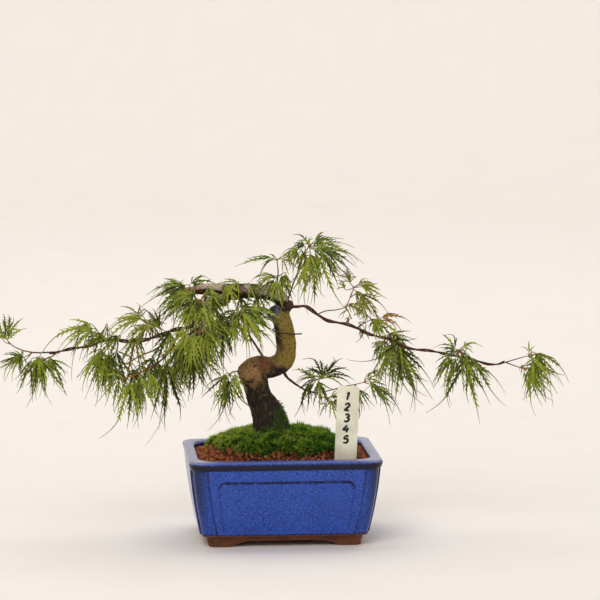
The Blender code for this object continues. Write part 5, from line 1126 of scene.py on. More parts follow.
def wood_mesh(settings):
    """Trunk and limbs as one skin fused on a fine grid and worn into bark, with the thin branches set in it."""
    shape = Shape()
    spine = []
    for path, sides in ((TRUNK, 24), (TRUNK_LUMP, 16), (KNOB, 20), (STUB, 14), (LIMB, 20), (LIMB_KNOT, 14),
                        (CUT_END, 12), (LEADER[:4], 12)):
        fine = smooth_path(path, 1.6)
        spine += fine
        sweep(shape, fine, sides)
    obj = place_mesh("wood_tubes", shape.mesh("wood_tubes"))
    remesh = obj.modifiers.new("skin", "REMESH")
    remesh.mode, remesh.voxel_size = "VOXEL", settings.skin_grid
    soften = obj.modifiers.new("soften", "SMOOTH")
    soften.factor, soften.iterations = 0.5, 3
    skin = applied(obj)
    twigs = Shape()
    for path in [LEADER[2:]] + BRANCHES:
        fine = slender(path)
        spine += fine
        sweep(twigs, fine, 12)
    bm = bmesh.new()
    bm.from_mesh(skin)
    bm.from_mesh(twigs.mesh("thin_branches"))
    bm.to_mesh(skin)
    bm.free()
    mesh = skin
    count = len(mesh.vertices)
    points = np.empty(count * 3, np.float32)
    mesh.vertices.foreach_get("co", points)
    points = points.reshape(-1, 3) / MM
    normals = np.array([vertex.normal for vertex in mesh.vertices])
    spine = np.array(spine)
    radius = np.empty(count)
    for first in range(0, count, 4000):
        block = points[first:first + 4000]
        gap = ((block[:, None, :] - spine[None, :, :3]) ** 2).sum(-1) - (spine[None, :, 3]) ** 2
        radius[first:first + 4000] = spine[gap.argmin(1), 3]
    fields = {name: np.zeros(count, np.float32) for name in ("young", "tan", "olive", "pale", "rust", "moss")}
    for i in range(count):
        x, y, z = (float(value) for value in points[i])
        thick = radius[i]
        old = min(1.0, max(0.0, (thick - 2.0) / 3.0))
        place = Vector((x, y, z))
        push = 0.55 * old * noise.noise(place * 0.13)
        push += 0.32 * old * noise.noise(Vector((x * 0.62, y * 0.62, z * 0.16)))
        push += 0.16 * old * noise.noise(Vector((x * 1.5, y * 1.5, z * 0.5 + 9.0)))
        push += (0.10 + 0.05 * thick * (1.0 - old)) * noise.noise(place * 0.5)
        points[i] += normals[i] * push
        blur = 3.0 * noise.noise(place * 0.17)
        fields["young"][i] = 1.0 - old
        # The pale layer is bleached bark plus a painted highlight: lighter on the limb's upward-facing top and lightest
        # near the trunk.
        crest = 1.0 - 0.8 * min(1.0, max(0.0, (12.0 - abs(x + 31.0 + 2.0 * blur)) / 7.0))
        painted_highlight_near_trunk = 0.9 * min(1.0, max(0.0, (x + 29.0) / 6.0))
        side = min(1.0, max(0.0, 1.25 + 1.6 * normals[i][0]))
        speck = 6.0 * noise.noise(place * 0.45)
        fields["tan"][i] = max(0.8 * spot_share(x, z, -1.0, 126.0 + blur, 10.0), 1.1 * spot_share(x, z, -66.6, 171.4, 6.0) * (y < -3.0),
                               0.85 * spot_share(x, z, -22.0 + speck, 118.0 + 2.0 * blur + speck, 17.0), spot_share(x, z, -13.0, 122.0 + blur, 8.0) * 0.8)
        fields["olive"][i] = old * side * max(0.0, min(1.0, (z - 117.0 + 0.5 * x + blur) / 6.0)) * max(0.0, min(1.0, (159.5 - z + blur) / 3.5))
        fields["pale"][i] = old * crest * min(1.0, max(0.0, (z - 163.0) / 3.0)) * max(0.0, min(1.0, normals[i][2] * 2.2 + 0.3 + blur * 0.12 + painted_highlight_near_trunk))
        fields["rust"][i] = max(spot_share(x, z, -12.5, 121.0, 6.5), spot_share(x, z, -34.0, 165.0 + blur, 11.0),
                                0.8 * spot_share(x, z, 2.0, 133.0 + blur, 8.0) * (noise.noise(place * 0.3) + 0.5))
        climb = 84.0 + 0.9 * (x + 8.0) + 2.0 * blur + 5.0 * (normals[i][0] > 0.2)
        fields["moss"][i] = max(0.0, min(1.0, (climb - z) / 6.0)) if thick > 6.0 else 0.0
    mesh.vertices.foreach_set("co", (points * MM).astype(np.float32).ravel())
    for name, values in fields.items():
        mesh.attributes.new(name, "FLOAT", "POINT").data.foreach_set("value", values)
    mesh.update()
    return mesh


def bark_material(settings):
    # Bark of an old Japanese maple: dark and finely furrowed low down, olive with rusty patches above, pale on the top
    # of the crown limb, which is partly bleached bark and partly a painted highlight, and smooth brown on young wood.
    material, tree, shader = new_surface("japanese_maple_bark", {"Roughness": 0.82, "Specular IOR Level": 0.3})
    coords = put(tree, "ShaderNodeTexCoord").outputs["Object"]
    long = put(tree, "ShaderNodeMapping", {"Vector": coords, "Scale": (1.0, 1.0, 0.3)}).outputs[0]
    furrows = put(tree, "ShaderNodeTexNoise", {"Vector": long, "Scale": per(1.5), "Detail": 5.0,
                                               "Roughness": 0.65}).outputs[0]
    flecks = put(tree, "ShaderNodeTexNoise", {"Vector": coords, "Scale": per(1.1), "Detail": 3.0}).outputs[0]
    patches = put(tree, "ShaderNodeTexNoise", {"Vector": coords, "Scale": per(6.0), "Detail": 4.0}).outputs[0]
    body = put(tree, "ShaderNodeValToRGB", {0: furrows}, stops=[
        (0.36, settings.bark_dark), (0.55, settings.bark), (0.72, settings.bark_tan)]).outputs[0]
    # The pale layer is partly bleached bark and partly a painted highlight on the limb's top.
    layers = (("young", settings.young_dark, settings.young, 1.0), ("tan", settings.tan_dark, settings.tan, 1.0),
              ("olive", settings.olive_dark, settings.olive, 1.0), ("pale", settings.pale_dark, settings.pale, 1.0),
              ("rust", settings.rust_dark, settings.rust, 0.75), ("moss", settings.damp_dark, settings.damp, 0.95))
    for field, dark, light, most in layers:
        worn = put(tree, "ShaderNodeAttribute", attribute_name=field).outputs["Fac"]
        edge = put(tree, "ShaderNodeMath", {0: patches, 1: 0.9, 2: worn}, operation="MULTIPLY_ADD").outputs[0]
        edge = put(tree, "ShaderNodeMapRange", {0: edge, 1: 0.6, 2: 1.15, 3: 0.0, 4: most}).outputs[0]
        tone = put(tree, "ShaderNodeValToRGB", {0: flecks}, stops=[(0.32, dark), (0.64, light)]).outputs[0]
        body = put(tree, "ShaderNodeMix", {0: edge, 6: body, 7: tone}, data_type="RGBA").outputs[2]
    tree.links.new(body, shader.inputs["Base Color"])
    bump = put(tree, "ShaderNodeBump", {"Height": furrows, "Strength": 0.8, "Distance": 0.35 * MM}).outputs[0]
    bump = put(tree, "ShaderNodeBump", {"Height": flecks, "Strength": 0.4, "Distance": 0.12 * MM,
                                        "Normal": bump}).outputs[0]
    tree.links.new(bump, shader.inputs["Normal"])
    return material


def paste_mesh():
    """The cap of wound paste, pressed on by hand and rounded over."""
    foot = Vector(KNOB[-1][:3])
    out = (foot - Vector(KNOB[-2][:3])).normalized()
    side = out.orthogonal().normalized()
    shape = Shape()
    rings = []
    for far, radius in ((-0.4, 0.93), (0.1, 1.0), (0.7, 1.0), (1.2, 0.95), (1.6, 0.85), (2.0, 0.68), (2.25, 0.46),
                        (2.4, 0.22)):
        ring = []
        for i in range(36):
            away = Quaternion(out, 2.0 * math.pi * i / 36) @ side
            lump = 1.0 + 0.06 * noise.noise(away * 1.7 + out * far)
            point = foot + out * far + away * PASTE_RADIUS * radius * lump * 0.99
            ring.append(shape.add(point + out * 0.25 * noise.noise(point * 0.5)))
        rings.append(ring)
    for low, high in zip(rings, rings[1:]):
        for k in range(36):
            j = (k + 1) % 36
            shape.face(low[k], low[j], high[j], high[k])
    shape.face(*rings[0])
    shape.face(*rings[-1])
    return shape.mesh("paste_cap")


def paste_material(settings):
    # Grey wound paste, dried to a leathery skin with a dusty bloom and small pits.
    material, tree, shader = new_surface("dried_wound_paste", {"Roughness": 0.6})
    coords = put(tree, "ShaderNodeTexCoord").outputs["Object"]
    clouds = put(tree, "ShaderNodeTexNoise", {"Vector": coords, "Scale": per(4.0), "Detail": 4.0}).outputs[0]
    pits = put(tree, "ShaderNodeTexNoise", {"Vector": coords, "Scale": per(0.9), "Detail": 2.0}).outputs[0]
    dark = tuple(value * 0.5 for value in settings.paste)
    body = put(tree, "ShaderNodeValToRGB", {0: clouds}, stops=[
        (0.35, dark), (0.52, settings.paste), (0.68, settings.paste_pale)]).outputs[0]
    tree.links.new(body, shader.inputs["Base Color"])
    bump = put(tree, "ShaderNodeBump", {"Height": pits, "Strength": 0.5, "Distance": 0.2 * MM}).outputs[0]
    tree.links.new(bump, shader.inputs["Normal"])
    return material


# wire

def along(path, far):
    """Place, direction and radius at a distance along a limb."""
    for i in range(len(path) - 1):
        start, end = Vector(path[i][:3]), Vector(path[i + 1][:3])
        length = (end - start).length
        if far <= length or i == len(path) - 2:
            share = min(far / length, 1.0)
            before = Vector(path[max(i - 1, 0)][:3])
            after = Vector(path[min(i + 2, len(path) - 1)][:3])
            turn = (start - before).lerp(after - end, share) + (end - start)
            return start.lerp(end, share), turn.normalized(), path[i][3] + (path[i + 1][3] - path[i][3]) * share
        far -= length


def helix(path, pitch, first, last, phase):
    """Points of a wire wound round a limb and touching its bark; a minus pitch winds it the other way."""
    points = []
    steps = int((last - first) / abs(pitch) * WIRE_STEPS)
    for i in range(steps + 1):
        place, direction, radius = along(path, first + abs(pitch) * i / WIRE_STEPS)
        back = Vector((0.0, 1.0, 0.0))
        back = (back - direction * back.dot(direction)).normalized()
        up = direction.cross(back)
        angle = math.radians(phase) + math.copysign(2.0 * math.pi * i / WIRE_STEPS, pitch)
        point = place + (back * math.cos(angle) + up * math.sin(angle)) * (0.62 * radius + 0.52)
        points.append((*point, WIRE_RADIUS))
    return points


def right_wire():
    """Round the front of the trunk, up behind it and out along the right-hand branch."""
    centre_x, centre_y, reach, low, rise = TRUNK_TURN
    points = [(14.2, -2.0, low + 0.3, WIRE_RADIUS)]
    for i in range(10):
        angle = math.radians(-22.0 - 27.0 * i)
        points.append((centre_x + reach * math.cos(angle), centre_y + reach * math.sin(angle), low + rise * i,
                       WIRE_RADIUS))
    for x, y, z in ((4.6, 12.2, 149.6), (6.8, 12.0, 155.4), (10.2, 8.8, 159.2)):
        points.append((x, y, z, WIRE_RADIUS))
    return points + helix(BRANCHES[RIGHT_BRANCH], RIGHT_PITCH, 12.5, 168.0, 0.0)


def left_wire():
    return helix(LEADER, LEFT_PITCH, 17.0, 135.0, -72.0)


def wire_tree(material):
    """A round wire along a line."""
    tree, given, result = new_tree("training_wire", {"Radius": WIRE_RADIUS * MM})
    ring = put(tree, "GeometryNodeCurvePrimitiveCircle", {"Resolution": 14, "Radius": given.outputs["Radius"]})
    wire = put(tree, "GeometryNodeCurveToMesh", {"Curve": given.outputs["Geometry"],
                                                 "Profile Curve": ring.outputs[0], "Fill Caps": True}).outputs[0]
    wire = put(tree, "GeometryNodeRealizeInstances", {0: wire}).outputs[0]
    wire = put(tree, "GeometryNodeSetMaterial", {"Geometry": wire, "Material": material}).outputs[0]
    tree.links.new(wire, result.inputs[0])
    return tree


def line_object(name, points):
    """A line through (x, y, z, radius) points, for a wire to follow."""
    curve = bpy.data.curves.new(name, "CURVE")
    curve.dimensions = "3D"
    spline = curve.splines.new("POLY")
    spline.points.add(len(points) - 1)
    for slot, (x, y, z, _) in zip(spline.points, points):
        slot.co = (x * MM, y * MM, z * MM, 1.0)
    obj = bpy.data.objects.new(name, curve)
    bpy.context.scene.collection.objects.link(obj)
    return obj


def wire_material(settings):
    # Brown anodised aluminium: satin metal under a thin coloured skin, rubbed brighter in places.
    material, tree, shader = new_surface("brown_anodised_aluminium", {"Metallic": 0.75, "Roughness": 0.42})
    coords = put(tree, "ShaderNodeTexCoord").outputs["Object"]
    rubbed = put(tree, "ShaderNodeTexNoise", {"Vector": coords, "Scale": per(3.0), "Detail": 4.0}).outputs[0]
    pale = tuple(min(1.0, value * 2.2) for value in settings.wire)
    body = put(tree, "ShaderNodeValToRGB", {0: rubbed}, stops=[
        (0.42, settings.wire), (0.72, pale)]).outputs[0]
    tree.links.new(body, shader.inputs["Base Color"])
    bump = put(tree, "ShaderNodeBump", {"Height": rubbed, "Strength": 0.2, "Distance": 0.05 * MM}).outputs[0]
    tree.links.new(bump, shader.inputs["Normal"])
    return material


# leaves

def add_lobe(shape, hub, ray, across, reach, droop, room, dice, tint, brown):
    """One lobe: a narrow blade whose teeth point forward, and which ends in a thread."""
    fall = Vector((0.0, 0.0, -1.0))
    sag = fall - ray * fall.dot(ray)
    sag_by, sway, curl = dice.uniform(0.03, 0.24), dice.uniform(-0.13, 0.13), dice.uniform(-1.2, 1.2)
    twist, fold, thread = dice.uniform(-0.8, 0.8), dice.uniform(0.1, 0.7), dice.uniform(0.62, 0.82)

    def spine(s):
        bend = sway * s * s + curl * max(0.0, s - thread + 0.06) ** 2
        return hub + (ray * s + fall * droop * s * s + sag * sag_by * s ** 3 + across * bend) * reach

    def point(s, width=0.0, lift=0.0, rib=0.0):
        way = (spine(s + 0.02) - spine(s - 0.02)).normalized()
        beside = (across - way * across.dot(way)).normalized()
        above = way.cross(beside)
        turn = twist * s
        beside, above = (beside * math.cos(turn) + above * math.sin(turn),
                         above * math.cos(turn) - beside * math.sin(turn))
        place = spine(s) + beside * width + above * (lift + fold * abs(width))
        return shape.add(place, tint=tint, along=s, rib=rib, brown=brown)

    teeth = max(3, min(9, round(reach * (thread - 0.1) / 3.9) + 1))
    step = (thread - 0.1) / teeth
    size = dice.uniform(0.9, 1.3)

    def body(s):
        return 0.22 + 0.016 * reach * math.sin(math.pi * min(1.0, 0.1 + 0.9 * s / (thread + 0.12))) ** 0.8

    first = point(0.0, rib=1.0)
    ribs = []
    for k in range(teeth + 1):
        s = 0.1 + step * k
        thick = 0.2 * (1.0 - 0.5 * s)
        ribs.append((point(s, 0.0, thick, 1.0), point(s, 0.0, -thick, 1.0), s))
    rims = {-1: [], 1: []}
    for hand in (-1, 1):
        lag = (0.1 + 0.3 * (hand > 0)) * step
        for k in range(teeth):
            s = 0.1 + step * k + lag
            low, high = s + 0.02 * step, s + 0.5 * step
            envelope = max(0.05, math.sin(math.pi * min(1.0, s / (thread + 0.1)) ** 0.75)) ** 0.7
            tooth = reach * 0.08 * envelope * size * dice.uniform(0.55, 1.25)
            tooth = min(tooth, (s + 0.12) * reach * room * 1.15 + 0.7)
            tooth = max(tooth, body(s) + 0.3)
            ahead = min((tooth - body(s)) / reach * dice.uniform(1.2, 2.1), 0.97 - high)
            start, stop = point(low, hand * body(low)), point(high, hand * body(high))
            outer = point(low + 0.5 * (0.5 * (high - low) + ahead), hand * (0.44 * body(s) + 0.56 * tooth))
            peak = point(0.5 * (low + high) + ahead, hand * tooth, -0.12 * tooth)
            ridge = [point(0.5 * (low + high), hand * body(s) * 1.05, lift, 0.4) for lift in (0.13, -0.13)]
            rims[hand].append((start, outer, peak, stop, ridge))
    end = dice.choice((1.0, 1.04, 1.12, 1.25))
    tail = []
    for share, width in ((0.1, 0.36), (0.3, 0.28), (0.5, 0.22), (0.7, 0.18), (0.86, 0.15)):
        s = thread + (end - thread) * share
        tail.append((point(s, 0.0, 0.15, 1.0), point(s, 0.0, -0.15, 1.0), point(s, -width), point(s, width)))
    last = point(end, rib=1.0)
    for hand in (-1, 1):
        edge = 2 if hand < 0 else 3
        for layer in (0, 1):
            shape.face(first, rims[hand][0][0], ribs[0][layer])
            for k, (start, outer, peak, stop, ridge) in enumerate(rims[hand]):
                here, there, crest = ribs[k][layer], ribs[k + 1][layer], ridge[layer]
                after = rims[hand][k + 1][0] if k + 1 < teeth else tail[0][edge]
                for corners in ((here, start, crest), (start, outer, crest), (outer, peak, crest),
                                (peak, stop, crest), (here, crest, there), (crest, stop, there),
                                (stop, after, there)):
                    shape.face(*corners)
            shape.face(there, tail[0][edge], tail[0][layer])
            for one, two in zip(tail, tail[1:]):
                shape.face(one[layer], one[edge], two[edge], two[layer])
            shape.face(tail[-1][layer], tail[-1][edge], last)


def add_leaf(shape, start, hub, tip, lobes, fan, roll, dice):
    """A cut leaf on its stalk: lobes that fan out from the hub and droop towards their tips."""
    start, hub, tip = Vector(start), Vector(hub), Vector(tip)
    fall = Vector((0.0, 0.0, -1.0))
    length = (tip - hub).length
    droop = DROOP * (1.0 - 0.8 * max(0.0, (tip - hub).dot(fall) / length))
    ahead = (tip - hub) - fall * droop * length
    length = ahead.length
    ahead.normalize()
    face = Vector((0.0, -1.0, 0.45))
    face = (face - ahead * face.dot(ahead)).normalized()
    face.rotate(Quaternion(ahead, math.radians(roll)))
    side = face.cross(ahead)
    elbow = hub - ahead * 0.45 * (hub - start).length
    stalk = []
    for i in range(8):
        t = i / 7.0
        place = start * (1 - t) ** 2 + elbow * 2 * t * (1 - t) + hub * t * t
        stalk.append((*place, 0.44 - 0.14 * math.sin(math.pi * t * 0.8)))
    # Painted shade: leaves further back get a darker green, and those in front a fresher one.
    tint = dice.gauss(0.31, 0.15) - 0.003 * hub.y
    sweep(shape, stalk, 7, kind=1, start=0.55, end=1.0, tint=tint)
    middle = (lobes - 1) / 2.0
    room = math.tan(math.radians(fan / max(middle, 1.0)) / 2.0)
    for i in range(lobes):
        turn = math.radians(fan * (i - middle) / max(middle, 1.0) + dice.uniform(-8.0, 8.0))
        share = abs(i - middle) / max(middle, 1.0)
        reach = length * (1.0 - LOBE_FALLOFF * share ** 1.4) * (1.0 + 0.1 * share * math.sin(2.4 * i + hub.x))
        reach *= dice.uniform(0.78, 1.06)
        ray = (ahead * math.cos(turn) + side * math.sin(turn) + face * dice.uniform(-0.4, 0.4)).normalized()
        heart = hub + ray * reach * 0.5
        brown = 0.0
        for x, z, spot, amount in WITHERED:
            if math.hypot(heart.x - x, heart.z - z) < 0.6 * spot:
                brown = max(brown, amount * dice.choice((0.2, 0.6, 1.0)))
        add_lobe(shape, hub, ray, face.cross(ray).normalized(), reach, droop, room, dice,
                 tint + dice.gauss(0.0, 0.14), brown)


def spray_mesh(number, spray):
    """A twig or two with their leaves."""
    name, radius, twigs, leaves = spray
    dice = random.Random(100 + number)
    shape = Shape("tint", "along", "rib", "brown")
    root, following = Vector(twigs[0][0]), Vector(twigs[0][1])
    fork = tuple(root + (following - root).normalized() * min(2.6, 0.6 * (following - root).length))
    joints = [fork] + twigs[0][1:]
    for points in twigs[1:]:
        joints += [fork] + points[1:]
    for points in twigs:
        sized = []
        for step, point in enumerate(points):
            sized.append((*point, 0.55 * radius * (1.0 - 0.35 * step / (len(points) - 1))))
        sweep(shape, smooth_path(sized, 1.5), 9, kind=1, start=0.0, end=0.5, tint=0.5)
    for start, hub, tip, lobes, fan, roll in leaves:
        add_leaf(shape, joints[start], hub, tip, lobes, fan, roll, dice)
        for _ in range(CROWDED.get(name, 1)):
            turn = Quaternion((0.0, 1.0, 0.0), math.radians(dice.uniform(-42.0, 42.0)))
            turn = turn @ Quaternion((0.0, 0.0, 1.0), math.radians(dice.uniform(-60.0, 60.0)))
            way = turn @ (Vector(tip) - Vector(hub)) * dice.uniform(0.65, 0.95)
            heart = Vector(hub) + Vector([dice.uniform(-5.0, 5.0) for _ in range(3)])
            add_leaf(shape, joints[start], heart, heart + way, lobes, fan, roll + dice.uniform(-30.0, 30.0), dice)
    for hub, tip, fan in OVERHANGING.get(name, ()):
        wood = [Vector(point[:3]) for path in [LIMB, LEADER] + BRANCHES for point in smooth_path(path, 2.0)]
        bud = min(wood, key=lambda point: (point - Vector(hub)).length)
        add_leaf(shape, bud, hub, tip, 7, fan, dice.uniform(-25.0, 25.0), dice)
    low, high = np.array(CAD_BOX) / MM
    shape.points = [tuple(point) for point in np.clip(np.array(shape.points), low + 0.02, high - 0.02)]
    return shape.mesh(name + "_blades")


def leaf_material(name, deep, mid, fresh, settings):
    # Summer maple leaf: thin, matt and a little translucent, with a pale rib and greens that change from leaf to leaf;
    # leaves further back are painted darker as shade. Withered lobes are rust brown.
    material, tree, shader = new_surface(name, {
        "Roughness": 0.5, "Specular IOR Level": 0.25, "Subsurface Weight": 0.1, "Subsurface Scale": 0.6 * MM,
        "Subsurface Radius": (0.5, 1.0, 0.15)})
    coords = put(tree, "ShaderNodeTexCoord").outputs["Object"]
    tint = put(tree, "ShaderNodeAttribute", attribute_name="tint").outputs["Fac"]
    far = put(tree, "ShaderNodeAttribute", attribute_name="along").outputs["Fac"]
    rib = put(tree, "ShaderNodeAttribute", attribute_name="rib").outputs["Fac"]
    brown = put(tree, "ShaderNodeAttribute", attribute_name="brown").outputs["Fac"]
    patches = put(tree, "ShaderNodeTexNoise", {"Vector": coords, "Scale": per(3.5), "Detail": 3.0}).outputs[0]
    # tint holds each leaf's own green and the painted shade that darkens leaves towards the back.
    shade = put(tree, "ShaderNodeMath", {0: patches, 1: 1.1, 2: tint}, operation="MULTIPLY_ADD").outputs[0]
    body = put(tree, "ShaderNodeValToRGB", {0: shade},
               stops=[(0.6, deep), (0.84, mid), (1.0, fresh)]).outputs[0]
    line = put(tree, "ShaderNodeMapRange", {0: rib, 1: 0.0, 2: 0.6, 3: 0.5, 4: 0.0}).outputs[0]
    body = put(tree, "ShaderNodeMix", {0: line, 6: body, 7: (*settings.rim, 1.0)}, data_type="RGBA").outputs[2]
    ends = put(tree, "ShaderNodeMapRange", {0: far, 1: 0.8, 2: 1.0, 3: 0.0, 4: 0.55}).outputs[0]
    body = put(tree, "ShaderNodeMix", {0: ends, 6: body, 7: (*settings.thread, 1.0)}, data_type="RGBA").outputs[2]
    dead = put(tree, "ShaderNodeMix", {0: patches, 6: (*settings.withered, 1.0), 7: (*settings.withered_pale, 1.0)},
               data_type="RGBA").outputs[2]
    body = put(tree, "ShaderNodeMix", {0: brown, 6: body, 7: dead}, data_type="RGBA").outputs[2]
    tree.links.new(body, shader.inputs["Base Color"])
    fine = put(tree, "ShaderNodeTexNoise", {"Vector": coords, "Scale": per(1.0), "Detail": 2.0}).outputs[0]
    bump = put(tree, "ShaderNodeBump", {"Height": fine, "Strength": 0.25, "Distance": 0.08 * MM}).outputs[0]
    tree.links.new(bump, shader.inputs["Normal"])
    return material


def stalk_material(settings):
    # Young shoots and leaf stalks: smooth and waxy, brown at the wood and wine red to green at the leaf.
    material, tree, shader = new_surface("young_maple_shoots", {"Roughness": 0.45, "Specular IOR Level": 0.4})
    coords = put(tree, "ShaderNodeTexCoord").outputs["Object"]
    far = put(tree, "ShaderNodeAttribute", attribute_name="along").outputs["Fac"]
    patches = put(tree, "ShaderNodeTexNoise", {"Vector": coords, "Scale": per(4.0), "Detail": 3.0}).outputs[0]
    shade = put(tree, "ShaderNodeMath", {0: patches, 1: 0.35, 2: far}, operation="MULTIPLY_ADD").outputs[0]
    body = put(tree, "ShaderNodeValToRGB", {0: shade}, stops=[
        (0.2, settings.shoot), (0.72, settings.stalk_red), (1.0, settings.stalk_green)]).outputs[0]
    tree.links.new(body, shader.inputs["Base Color"])
    bump = put(tree, "ShaderNodeBump", {"Height": patches, "Strength": 0.2, "Distance": 0.1 * MM}).outputs[0]
    tree.links.new(bump, shader.inputs["Normal"])
    return material


# stage

def wall_material(settings):
    # Matt painted board, with the faintest mottle of a roller.
    material, tree, shader = new_surface("matt_painted_board", {"Roughness": 0.95, "Specular IOR Level": 0.1})
    coords = put(tree, "ShaderNodeTexCoord").outputs["Object"]
    mottle = put(tree, "ShaderNodeTexNoise", {"Vector": coords, "Scale": per(60.0), "Detail": 3.0}).outputs[0]
    pale = tuple(min(1.0, value * 1.02) for value in settings.wall)
    body = put(tree, "ShaderNodeValToRGB", {0: mottle}, stops=[(0.3, settings.wall), (0.7, pale)]).outputs[0]
    tree.links.new(body, shader.inputs["Base Color"])
    return material


def sweep_mesh():
    """Round floor whose edge curves up into a low wall, so that every side has the same backdrop."""
    shape = Shape()
    line = [(20.0, 0.0), (600.0, 0.0), (2400.0, 0.0)]
    for i in range(1, 13):
        angle = math.radians(7.5 * i)
        line.append((2400.0 + 700.0 * math.sin(angle), 700.0 - 700.0 * math.cos(angle)))
    line.append((3100.0, 1500.0))
    sides = 96
    rows = [[shape.add((far * math.cos(2.0 * math.pi * k / sides), far * math.sin(2.0 * math.pi * k / sides), z - 0.05))
             for k in range(sides)] for far, z in line]
    for low, high in zip(rows, rows[1:]):
        for k in range(sides):
            shape.face(low[k], low[(k + 1) % sides], high[(k + 1) % sides], high[k])
    shape.face(*rows[0])
    return shape.mesh("floor_sweep")


def add_light(name, place, target, size, power, colour):
    light = bpy.data.lights.new(name, "AREA")
    light.shape, light.size, light.size_y = "RECTANGLE", size[0], size[1]
    light.energy, light.color = power, colour
    obj = bpy.data.objects.new(name, light)
    obj.location = place
    obj.rotation_euler = (Vector(target) - Vector(place)).to_track_quat("-Z", "Y").to_euler()
    bpy.context.scene.collection.objects.link(obj)


# settings

def colour_setting(title, text, code):
    return bpy.props.FloatVectorProperty(name=title, description=text, subtype="COLOR", size=3, min=0.0, max=1.0,
                                         default=linear(code))


def length_setting(title, text, value):
    return bpy.props.FloatProperty(name=title, description=text, subtype="DISTANCE", unit="LENGTH", min=0.0001,
                                   precision=5, default=value * MM)


class PotSettings(bpy.types.PropertyGroup):
    glaze: colour_setting("Glaze", "Cobalt glaze where it is thick", "#2C50B4")
    glaze_dark: colour_setting("Glaze drops", "Darker drops in the glaze", "#14205C")
    glaze_pale: colour_setting("Glaze runs", "Paler runs in the glaze", "#5274CC")
    # Colour of the painted reflection on top of the rim.
    rim_reflection: colour_setting("Rim", "Worn, milky glaze on top of the rim", "#9A9DB8")
    # This dark also serves as the painted shade inside the mouth and along the top of the panel line.
    edge_glaze_and_painted_shade: colour_setting("Glaze on edges", "Where the glaze runs thin over an edge", "#131222")
    clay: colour_setting("Clay", "Unglazed band and feet", "#6B3E26")


class GroundSettings(bpy.types.PropertyGroup):
    soil: colour_setting("Soil", "Baked clay grains", "#7E3E20")
    soil_pale: colour_setting("Dry soil", "The palest grains", "#A8683E")
    grain_spacing: length_setting("Grain spacing", "Least distance between grains", 1.7)
    moss: colour_setting("Moss", "Moss shoots", "#5C9420")
    # Shaded moss also takes the painted shade towards the right of the cushion.
    moss_dark: colour_setting("Shaded moss", "Older moss", "#33600E")
    moss_pale: colour_setting("Young moss", "Fresh tips", "#BAD048")
    shoot_spacing: length_setting("Shoot spacing", "Least distance between moss shoots", 1.15)
    shoot_height: length_setting("Shoot height", "Tallest moss shoot", 3.8)


class LabelSettings(bpy.types.PropertyGroup):
    card: colour_setting("Card", "Plastic of the plant label", "#F6F4DC")


class WoodSettings(bpy.types.PropertyGroup):
    skin_grid: length_setting("Skin grid", "Size of the grid that fuses the limbs", 0.5)
    bark: colour_setting("Bark", "Old bark", "#271F15")
    bark_dark: colour_setting("Furrows", "Old bark in its furrows", "#100C09")
    bark_tan: colour_setting("Ridges", "Worn ridges of the old bark", "#5E4A34")
    tan: colour_setting("Lump", "Bark of the lump on the left", "#A07C4E")
    tan_dark: colour_setting("Lump flecks", "Flecks on the lump", "#6E5030")
    olive: colour_setting("Upper bark", "Bark of the upper trunk", "#98823A")
    olive_dark: colour_setting("Upper flecks", "Darker flecks of the upper trunk", "#5C4C22")
    # Painted highlight with bleached bark: colours of the pale top of the crown limb.
    pale: colour_setting("Bleached bark", "Top of the crown limb", "#D6C2AC")
    pale_dark: colour_setting("Bleached flecks", "Flecks in the bleached bark", "#8C7860")
    rust: colour_setting("Rusty bark", "Reddish patches", "#6E3A22")
    rust_dark: colour_setting("Rusty flecks", "Dark flecks of the reddish patches", "#3A1A14")
    damp: colour_setting("Damp bark", "Green film on the trunk's foot", "#34461A")
    damp_dark: colour_setting("Damp furrows", "Film in the furrows", "#171D0C")
    young: colour_setting("Young bark", "Bark of the branches", "#6A4034")
    young_dark: colour_setting("Young flecks", "Darker flecks on the branches", "#2A1813")
    paste: colour_setting("Wound paste", "Dried paste on the cut", "#383A42")
    paste_pale: colour_setting("Paste bloom", "Dusty bloom on the paste", "#5C5C60")
    wire: colour_setting("Wire", "Brown training wire", "#46281E")
    wire_radius: length_setting("Wire radius", "Half the wire's thickness", 0.5)


class LeafSettings(bpy.types.PropertyGroup):
    # Deep green also carries the painted shade of leaves at the back of the crown.
    deep: colour_setting("Deep green", "Darkest leaves", "#202A08")
    mid: colour_setting("Mid green", "Most leaves", "#4B6110")
    fresh: colour_setting("Fresh green", "Youngest leaves", "#8F9C28")
    warm: colour_setting("Warm green", "Leaves that are turning", "#8A7A34")
    rim: colour_setting("Rims", "Thin rims of the lobes, where light comes through", "#8F9438")
    thread: colour_setting("Threads", "Thread at the end of each lobe", "#6A6234")
    withered: colour_setting("Withered", "Withered lobes", "#8A4A1E")
    withered_pale: colour_setting("Withered, pale", "Dry parts of withered lobes", "#C98A4A")
    shoot: colour_setting("Shoots", "Young shoots at the wood", "#5A3A2A")
    stalk_red: colour_setting("Stalks", "Leaf stalks", "#9A5A3A")
    stalk_green: colour_setting("Stalk ends", "Leaf stalks at the leaf", "#8A9A4A")


class StageSettings(bpy.types.PropertyGroup):
    wall: colour_setting("Backdrop", "Board behind and below", "#F7F2EE")
    key_power: bpy.props.FloatProperty(name="Main light", description="Power of the light in front", unit="POWER",
                                       default=19.0)
    wall_power: bpy.props.FloatProperty(name="Wall light", description="Power of the light on the backdrop",
                                        unit="POWER", default=51.0)
    fill_power: bpy.props.FloatProperty(name="Fill light", description="Power of the light on the right",
                                        unit="POWER", default=4.0)


# operators

class MAPLE_OT_pot(bpy.types.Operator):
    """Make the glazed pot"""
    bl_idname = "maple.pot"
    bl_label = "Pot"

    def execute(self, context):
        settings = context.scene.maple_pot
        finish_piece("glazed_pot", pot_mesh(), ["pot"],
                     [glaze_material(settings), clay_material(settings)], crease=50)
        return {"FINISHED"}


